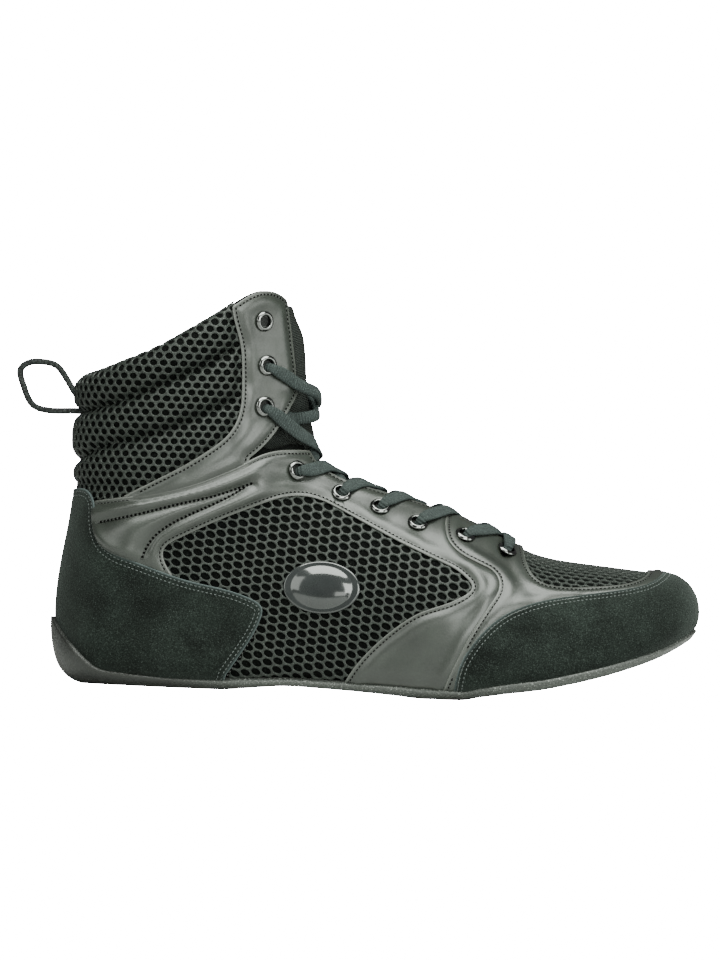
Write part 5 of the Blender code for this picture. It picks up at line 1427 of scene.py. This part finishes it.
# The grooves between the ribs are painted darker than the ribs: painted shade.
shade = ramp(tongue_cloth, ribs, "Fac", [(0.2, (0.004, 0.005, 0.0045)), (0.7, (0.024, 0.028, 0.025))])
join(tongue_cloth, shade, "Color", tongue_shader, "Base Color")
soft = bump(tongue_cloth, tongue_shader, thread, "Fac", 0.3, 0.0003)
bump(tongue_cloth, tongue_shader, ribs, "Fac", 0.8, 0.0005, soft)
tongue = lay("padded_tongue", np.concatenate([sheet.reshape(-1, 3) for sheet in sheets]),
             np.concatenate([quads, quads[:, ::-1] + grid_t.size]), [tongue_cloth],
             uv=np.tile(uv, (2, 1)))
mended(tongue, weld=1e-6)
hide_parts("tongue")

# The laces
# Flat woven laces about 6 mm wide, ribbed across. Each strand drops into its eyelet, crosses
# the throat and runs under the far facing to the next eyelet. The top crossing hangs slack.
LACE_WIDTH = 0.0063
LACE_THICKNESS = 0.0017
LACE_HEIGHT = -0.0011
LACE_SLACK = 0.0046
RIB_PITCH = 0.00125


def lace_route(side, number):
    """Distances from the eyelet across the throat with heights there, and the section numbers of both ends."""
    rows, downs = EYELET_SPOTS[side]
    far_rows, far_downs = EYELET_SPOTS[-side]
    t0, t1, down, far_down = rows[number], far_rows[number + 1], downs[number], far_downs[number + 1]
    edge, far_edge = throat_gap(np.array([t0, t1]))
    lift = 0.0004 if number > 5 else 0.0
    over = LACE_HEIGHT + (0.0009 if side < 0 else -0.0008) + {1: 0.0030, 2: 0.0016}.get(number, 0.0)
    knots = np.array([
        (down + 0.0004, -0.0030), (down - 0.0002, -0.0006), (down - 0.0012, 0.0019 + lift),
        (down - 0.0026, 0.0028 + lift), ((down + edge) / 2 - 0.0008, 0.0029 + lift), (edge, 0.0026 + lift),
        (0.5 * edge, over + 0.0007), (0.0, over), (-0.35 * far_edge, over + 0.0002),
        (-0.66 * far_edge, over - 0.0006), (-far_edge + 0.0004, -0.0030), (-far_edge - 0.0030, -0.0031),
        (-far_down + 0.0010, -0.0031),
    ])
    order = np.argsort(-knots[:, 0])
    return knots[order], t0, t1


def lace_path(side, number):
    knots, t0, t1 = lace_route(side, number)
    height = natural_spline(-knots[:, 0], knots[:, 1])
    across = np.linspace(knots[0, 0], knots[-1, 0], 90)
    share = np.clip((knots[0, 0] - across) / (knots[0, 0] - knots[-1, 0]), 0, 1)
    sag = {1: 3.2 if side < 0 else 4.0, 2: 2.3, 3: 0.8}.get(number, 0.4)
    t = t0 + (t1 - t0) * share - sag * np.sin(math.pi * share)
    places, normals = over_throat(side, t, across)
    rise = height(-across)
    if number == 1:
        rise = rise + LACE_SLACK * np.sin(math.pi * np.clip((share - 0.16) / 0.66, 0, 1)) ** 2
    lean = 0.55 * side * ease(across / knots[0, 0]) * (share < 0.5)
    return places + normals * rise[:, None], normals + lean[:, None] * np.array([0, 1.0, 0]), share


def squared_round(count, wide_power, tall_power):
    """Points round a flattened ring, squarer for a lower power."""
    turn = np.linspace(0, 2 * math.pi, count, endpoint=False)
    return [np.sign(value) * np.abs(value) ** power
            for value, power in ((np.cos(turn), wide_power), (np.sin(turn), tall_power))]


def tipped(rings):
    """The rings, drawn together at their first and last middles."""
    tips = [np.repeat(rings[k].mean(0)[None], len(rings[k]), 0) for k in (0, -1)]
    return [tips[0], *rings, tips[1]]


def woven_band(path, normals, width, thick):
    """Rings of a flat woven band along a path, swelling a little at each rib."""
    reach = travel(path)
    count = int(reach[-1] / RIB_PITCH * 6)
    at = np.linspace(0, reach[-1], count)
    spots = np.stack([natural_spline(reach, path[:, k])(at) for k in range(3)], -1)
    ups = np.stack([np.interp(at, reach, normals[:, k]) for k in range(3)], -1)
    ahead = unit(np.gradient(spots, axis=0))
    across = unit(np.cross(ahead, ups))
    up = np.cross(across, ahead)
    wide, tall = squared_round(18, 0.80, 0.75)
    rib = 1 + 0.16 * (np.abs(np.sin(math.pi * at / RIB_PITCH)) - 0.6)
    w = np.interp(at, reach, width) / 2
    h = np.interp(at, reach, thick) / 2
    return tipped(spots[:, None] + across[:, None] * (wide[None, :] * (w * (0.6 + 0.4 * rib))[:, None])[..., None]
                  + up[:, None] * (tall[None, :] * (h * rib ** 2)[:, None])[..., None])


lace_cloth = fine_finish("woven_lace", (0.024, 0.031, 0.030), 0.75, (2600, 3),
                         [(0.3, (0.010, 0.0135, 0.013)), (0.55, (0.026, 0.034, 0.033)),
                          (0.78, (0.080, 0.098, 0.096))], (0.5, 0.0004), Specular_IOR_Level=0.2)


def lay_bands(name, bands, replaced):
    """Bands laid as pieces of their own in place of a plain one."""
    pieces = [ring_piece(f"{name}_{k}", band, [lace_cloth]) for k, band in enumerate(bands)]
    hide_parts(replaced)


for number in range(1, 8):
    bands = []
    for side in SIDES:
        path, normals, share = lace_path(side, number)
        narrow = np.exp(-(share / 0.075) ** 2)
        loose = 1.0 if number == 1 else 0.0
        width = LACE_WIDTH * (1 - 0.36 * narrow) - 0.0008 * loose * np.sin(math.pi * share)
        thick = LACE_THICKNESS * (1 + 0.7 * narrow) + 0.0012 * loose * np.sin(math.pi * share)
        bands.append(woven_band(path, normals, width, thick))
    lay_bands(f"lace_crossing_{number}", bands, f"lace_cross_{number}")

t_ends, downs = zip(*[[values[8] for values in EYELET_SPOTS[side]] for side in (1, -1)])
edge = throat_gap(np.array([t_ends[0]]))[0]
bar = [(downs[0] + 0.0004, -0.0030), (downs[0] - 0.0002, -0.0006), (downs[0] - 0.0013, 0.0026),
       (downs[0] - 0.0028, 0.0036), (edge, 0.0033), (0.0, 0.0016), (-edge, 0.0033), (-downs[1] + 0.0028, 0.0036),
       (-downs[1] + 0.0013, 0.0026), (-downs[1] + 0.0002, -0.0006), (-downs[1] - 0.0004, -0.0030)]
bar = np.array(bar)
across = np.linspace(bar[0, 0], bar[-1, 0], 80)
share = (bar[0, 0] - across) / (bar[0, 0] - bar[-1, 0])
places, normals = over_throat(1, t_ends[0] + (t_ends[1] - t_ends[0]) * share, across)
path = places + normals * natural_spline(-bar[:, 0], bar[:, 1])(-across)[:, None]
narrow = np.exp(-(share / 0.10) ** 2) + np.exp(-((1 - share) / 0.10) ** 2)
lay_bands("lace_straight_bar", [woven_band(path, normals, LACE_WIDTH * (1 - 0.36 * narrow),
                                           LACE_THICKNESS * (1 + 0.7 * narrow))], "lace_bar")

# The pull loop
# A doubled 10 mm webbing tape, stitched into the groove behind the collar.
LOOP_WIDTH = 0.010
LOOP_THICKNESS = 0.0028
PULL_LOOP = ((0.0399, 0.708), (0.0284, 0.712), (0.0149, 0.736), (0.002, 0.768), (-0.0115, 0.792),
             (-0.031, 0.8), (-0.0551, 0.796), (-0.0661, 0.781), (-0.0622, 0.743), (-0.0543, 0.711),
             (-0.0444, 0.69), (-0.0264, 0.68), (0.0008, 0.679), (0.0293, 0.68), (0.0407, 0.678))
loop_view = side_line(PULL_LOOP, 12)
path = np.stack([loop_view[:, 0], 0 * loop_view[:, 0], loop_view[:, 1]], -1)
normals = np.cross(np.array([0, 1.0, 0]), unit(np.gradient(path, axis=0)))
wide, tall = squared_round(28, 0.35, 0.6)
rings = tipped(path[:, None] + np.array([0, 1.0, 0]) * wide[None, :, None] * LOOP_WIDTH / 2
               + normals[:, None] * tall[None, :, None] * LOOP_THICKNESS / 2)
webbing, webbing_shader = shader_of("loop_webbing", (0.012, 0.014, 0.013), 0.8, Specular_IOR_Level=0.2)
where = node(webbing, "TexCoord")
weave = node(webbing, "TexVoronoi", [("Vector", where, "Object")], Scale=1100)
join(webbing, ramp(webbing, weave, "Distance", [(0.1, (0.040, 0.047, 0.045)), (0.6, (0.007, 0.0085, 0.008))]),
     "Color", webbing_shader, "Base Color")
bump(webbing, webbing_shader, weave, "Distance", 0.5, 0.0003)
pull_loop = ring_piece("webbing_loop", rings, [webbing])
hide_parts("pull_loop")

# The insole
# A thin foam sock with a brushed cloth top, lying on the inside of the sole.
INSOLE_RISE = 0.0008
INSOLE_THICKNESS = 0.0030
edges = {}
for side in SIDES:
    found = []
    for t in np.linspace(2.6, 17.2, 120):
        loop = last_points(side, t, TURNS)
        above = loop[:, 2] - bed(loop[:, 0]) - INSOLE_RISE - INSOLE_THICKNESS
        k = int(np.argmax(above > 0))
        if k:
            found.append([np.interp(0, above[k - 1:k + 1], loop[k - 1:k + 1, axis]) for axis in (0, 1)])
    edges[side] = np.array(sorted(found))
first, last = max(edges[side][0, 0] for side in SIDES) + 0.004, min(edges[side][-1, 0] for side in SIDES) - 0.004
xs = first + (last - first) * (1 - np.cos(np.linspace(0, math.pi, 90))) / 2
outer, inner = (np.interp(xs, *edges[side].T) - side * 0.0052 for side in SIDES)
across, up = squared_round(56, 0.45, 0.6)
rings = []
for x, a, b in zip(xs, outer, inner):
    a, b = min(a, b - 0.004), max(b, a + 0.004)
    heights = bed(x) + INSOLE_RISE + INSOLE_THICKNESS * (0.5 + up * 0.5)
    rings.append(np.stack([np.full(len(up), x), (a + b) / 2 + across * (b - a) / 2, heights], -1))
sock = fine_finish("brushed_sock", (0.020, 0.022, 0.022), 0.9, (1300, 4),
                   [(0.3, (0.010, 0.011, 0.011)), (0.7, (0.045, 0.049, 0.048))], (0.4, 0.0004), Sheen_Weight=0.3)
insole = ring_piece("insole_sock", tipped(rings), [sock])
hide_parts("insole")

# The outsole
# One moulded rubber shell with a low edge all round and a cup up the heel. The walls are
# finely pebbled, and the underside has a chevron tread with three flex grooves.
FIT_GAP = 0.0003
LIP_THICKNESS = 0.0031
WALL_FLARE = 0.09
HEEL_SLACK = 0.0007
FLEX_GROOVES = (0.690, 0.735, 0.780)
WALL_STEPS = np.array([0, 0.02, 0.05, 0.09, 0.15, 0.24, 0.36, 0.50, 0.64, 0.76, 0.85, 0.91, 0.95, 0.98, 1.0])
FLOOR_STEPS = np.array([0.012, 0.03, 0.06, 0.10, 0.16, 0.23, 0.31, 0.40, 0.50, 0.60, 0.70, 0.80, 0.90, 1.0])
MIDDLE = len(WALL_STEPS) + len(FLOOR_STEPS) - 1


def rounding(inward, radius):
    return radius - np.sqrt(radius ** 2 - (radius - np.clip(inward, 0, radius)) ** 2)


def tread(x, y, rim):
    """Depth of the tread under the sole, away from its rim."""
    wave = (x + 0.35 * np.abs(y)) / 0.0066
    groove = ease((np.abs(wave - np.round(wave)) - 0.33) / 0.10) * 0.0007
    flex = sum(np.exp(-((length_share(x) - share) * SHOE_LENGTH / 0.0011) ** 4) for share in FLEX_GROOVES) * 0.0010
    depth = np.maximum(groove * ease((rim - 0.0035) / 0.001), flex * ease((rim - 0.0010) / 0.002))
    return np.minimum(depth, np.maximum(bed(x) - ground(x, y) - 0.0012, 0))


def rim_height(x):
    """Height of the moulded rim, which grips a little higher than the sole's plain edge."""
    return lip(x) + 0.0018 + 0.0012 * cup_rise(length_share(x))


def sole_half(side, t, is_outer):
    """Points of one section from the lip down the wall and in to the middle of the bottom."""
    reach = from_grid(LAST_REACH[side], np.full(len(TURNS), t), TURNS)
    loop = last_points(side, t, TURNS)
    over = loop[:, 2] - rim_height(loop[:, 0])
    top = max(int(np.argmax(over > 0)), 1)
    span = float(np.interp(0, over[top - 1:top + 1], reach[top - 1:top + 1]))

    def at(distance):
        turns = np.interp(distance, reach, TURNS)
        places, normals = last_frame(side, np.full(len(turns), t), turns)
        depth = np.maximum(rim_height(places[:, 0]) - places[:, 2], 0)
        slack = HEEL_SLACK * np.minimum(1, 4 * cup_rise(length_share(places[:, 0])))
        offset = np.full(len(turns), 0.0004)
        if is_outer:
            floor = ground(places[:, 0], places[:, 1])
            offset = FIT_GAP + slack + LIP_THICKNESS + WALL_FLARE * depth
            offset = offset - rounding(span - distance, 0.0009) - rounding(places[:, 2] - floor + 0.0004, 0.0012)
        return places + normals * offset[:, None]

    fine = np.linspace(0, span, 100)
    tried = at(fine)
    floor = ground(tried[:, 0], tried[:, 1]) if is_outer else bed(tried[:, 0])
    below = np.nonzero(tried[:, 2] < floor)[0]
    corner = 0.0
    if len(below):
        k = below[-1]
        gap = tried[:, 2] - floor
        corner = float(np.interp(0, gap[k:k + 2], fine[k:k + 2])) if k < len(fine) - 1 else span
    wall = at(span - (span - corner) * WALL_STEPS)
    if is_outer:
        wall[:, 2] = np.maximum(wall[:, 2], ground(wall[:, 0], wall[:, 1]))
    middle = SECTION["centre"](t) * BALL_WIDTH
    if corner == 0:
        wall[-1, 1] = middle
        return np.concatenate([wall, np.repeat(wall[-1:], len(FLOOR_STEPS), 0)])
    bottom = at(corner * (1 - FLOOR_STEPS))
    bottom[-1, 1] = middle
    rim = np.linalg.norm((bottom - wall[-1])[:, :2], axis=1)
    if is_outer:
        bottom[:, 2] = ground(bottom[:, 0], bottom[:, 1]) + rounding(rim, 0.0011) * 0.6
        bottom[:, 2] += tread(bottom[:, 0], bottom[:, 1], rim)
    else:
        bottom[:, 2] = np.maximum(bed(bottom[:, 0]), ground(bottom[:, 0], bottom[:, 1]) + 0.0012)
    return np.concatenate([wall, bottom])


low_line = LAST_POINTS[1][:, 0]
below_lip = low_line[:, 2] <= rim_height(low_line[:, 0])
start_row = ROWS[np.argmax(below_lip)]
end_row = ROWS[len(ROWS) - 1 - np.argmax(below_lip[::-1])]
spread = np.linspace(0, 1, 330)
sole_rows = start_row + (end_row - start_row) * (spread * 0.75 + 0.25 * (1 - np.cos(math.pi * spread)) / 2)
rings = []
for t in sole_rows:
    lateral, medial = (sole_half(side, t, True) for side in SIDES)
    inside_lateral, inside_medial = (sole_half(side, t, False)[::4] for side in SIDES)
    rings.append(np.concatenate([lateral, medial[::-1][1:], inside_medial, inside_lateral[::-1]]))
wide = len(rings[0])
tips = [np.repeat(rings[k][MIDDLE:MIDDLE + 1], wide, 0) for k in (0, -1)]
rings = [tips[0], *rings[1:-1], tips[1]]
rubber, rubber_shader = shader_of("pebbled_rubber", (0.040, 0.042, 0.041), 0.48, Specular_IOR_Level=0.5)
pebble, smudge = noise(rubber, 1500, 2, rough=0.6), noise(rubber, 45, 3)
speck = ramp(rubber, pebble, "Fac", [(0.35, (0.030, 0.034, 0.031)), (0.62, (0.066, 0.072, 0.066)),
                                     (0.74, (0.34, 0.36, 0.34))])
spot = node(rubber, "SeparateXYZ", [("Vector", node(rubber, "TexCoord"), "Object")])
cup_share = node(rubber, "MapRange", [("Value", spot, "X")], From_Min=0.034, From_Max=0.006)
tone = node(rubber, "Mix", [("Factor", cup_share, "Result")], data_type="RGBA", blend_type="MIX")
join(rubber, speck, "Color", tone, 6)
tone.inputs[7].default_value = (0.011, 0.0125, 0.011, 1)
join(rubber, tone, 2, rubber_shader, "Base Color")
join(rubber, ramp(rubber, smudge, "Fac", [(0.35, (0.30, 0.30, 0.30)), (0.7, (0.50, 0.50, 0.50))]), "Color",
     rubber_shader, "Roughness")
bump(rubber, rubber_shader, pebble, "Fac", 0.55, 0.0005)
outsole = ring_piece("rubber_outsole", rings, [rubber])
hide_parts("outsole")

# The studio
# A pale floor and soft light all round, as for a catalogue picture. The camera keeps the
# photograph's angle to the shoe, level with it and slightly rolled.
ROLL = math.radians(2.45)
CAMERA_PLACE = (0.0859, -4.0, 0.0953)
LENS = 336.9
WHITE = 40.0


def seen_directly(owner, target, socket, lit, seen):
    """A strength for light on the shoe, and another for what the picture shows of the backdrop."""
    scaled = node(owner, "Math", [(0, node(owner, "LightPath"), "Is Camera Ray")], operation="MULTIPLY_ADD")
    scaled.inputs[1].default_value, scaled.inputs[2].default_value = seen - lit, lit
    join(owner, scaled, 0, target, socket)


floor_mesh = bpy.data.meshes.new("studio_floor")
bm = bmesh.new()
bmesh.ops.create_grid(bm, x_segments=2, y_segments=2, size=3, matrix=Matrix.Translation((0, 0, -0.0002)))
bm.to_mesh(floor_mesh)
bm.free()
studio_floor = bpy.data.objects.new("studio_floor", floor_mesh)
bpy.context.scene.collection.objects.link(studio_floor)
floor_paper, floor_shader = shader_of("floor_paper", (0.60, 0.61, 0.60), 0.9)
floor_shader.inputs["Emission Color"].default_value = (1, 1, 1, 1)
seen_directly(floor_paper, floor_shader, "Emission Strength", 0.0, WHITE)
floor_mesh.materials.append(floor_paper)

world = bpy.data.worlds.new("studio_light")
world.use_nodes = True
world.node_tree.nodes["Background"].inputs["Color"].default_value = (1.0, 1.0, 1.0, 1)
seen_directly(world, world.node_tree.nodes["Background"], "Strength", 0.14, WHITE)
bpy.context.scene.world = world


def soft_box(name, place, target, size, power):
    """A rectangular lamp that faces a point."""
    lamp = bpy.data.lights.new(name, "AREA")
    lamp.shape, lamp.size, lamp.size_y, lamp.energy = "RECTANGLE", *size, power
    lamp.color = (0.95, 1.0, 0.93)
    made = bpy.data.objects.new(name, lamp)
    made.location = place
    made.rotation_euler = (Vector(target) - Vector(place)).to_track_quat("-Z", "Y").to_euler()
    bpy.context.scene.collection.objects.link(made)


soft_box("overhead_box", (0.15, -0.35, 1.0), (0.09, 0, 0.08), (1.0, 0.6), 24)
soft_box("front_box", (0.55, -1.1, 0.55), (0.09, 0, 0.08), (0.6, 0.6), 13)
soft_box("left_box", (-0.7, -0.7, 0.5), (0.05, 0, 0.08), (0.5, 0.7), 4)
soft_box("low_front_box", (0.20, -1.6, 0.25), (0.09, 0, 0.10), (0.5, 0.3), 2)
soft_box("right_box", (1.26, -0.62, 0.20), (0.09, 0, 0.10), (0.5, 0.7), 8)

camera = bpy.data.cameras.new("photo_camera")
camera.sensor_fit, camera.sensor_height, camera.sensor_width = "VERTICAL", 36, 36
camera.lens, camera.clip_end = LENS, 50
eye = bpy.data.objects.new("photo_camera", camera)
bpy.context.scene.collection.objects.link(eye)
right = Vector((math.cos(ROLL), 0, math.sin(ROLL)))
up = Vector((-math.sin(ROLL), 0, math.cos(ROLL)))
turn = Matrix((right, up, Vector((0, -1, 0)))).transposed().to_4x4()
eye.matrix_world = Matrix.Translation(CAMERA_PLACE) @ turn
bpy.context.scene.camera = eye
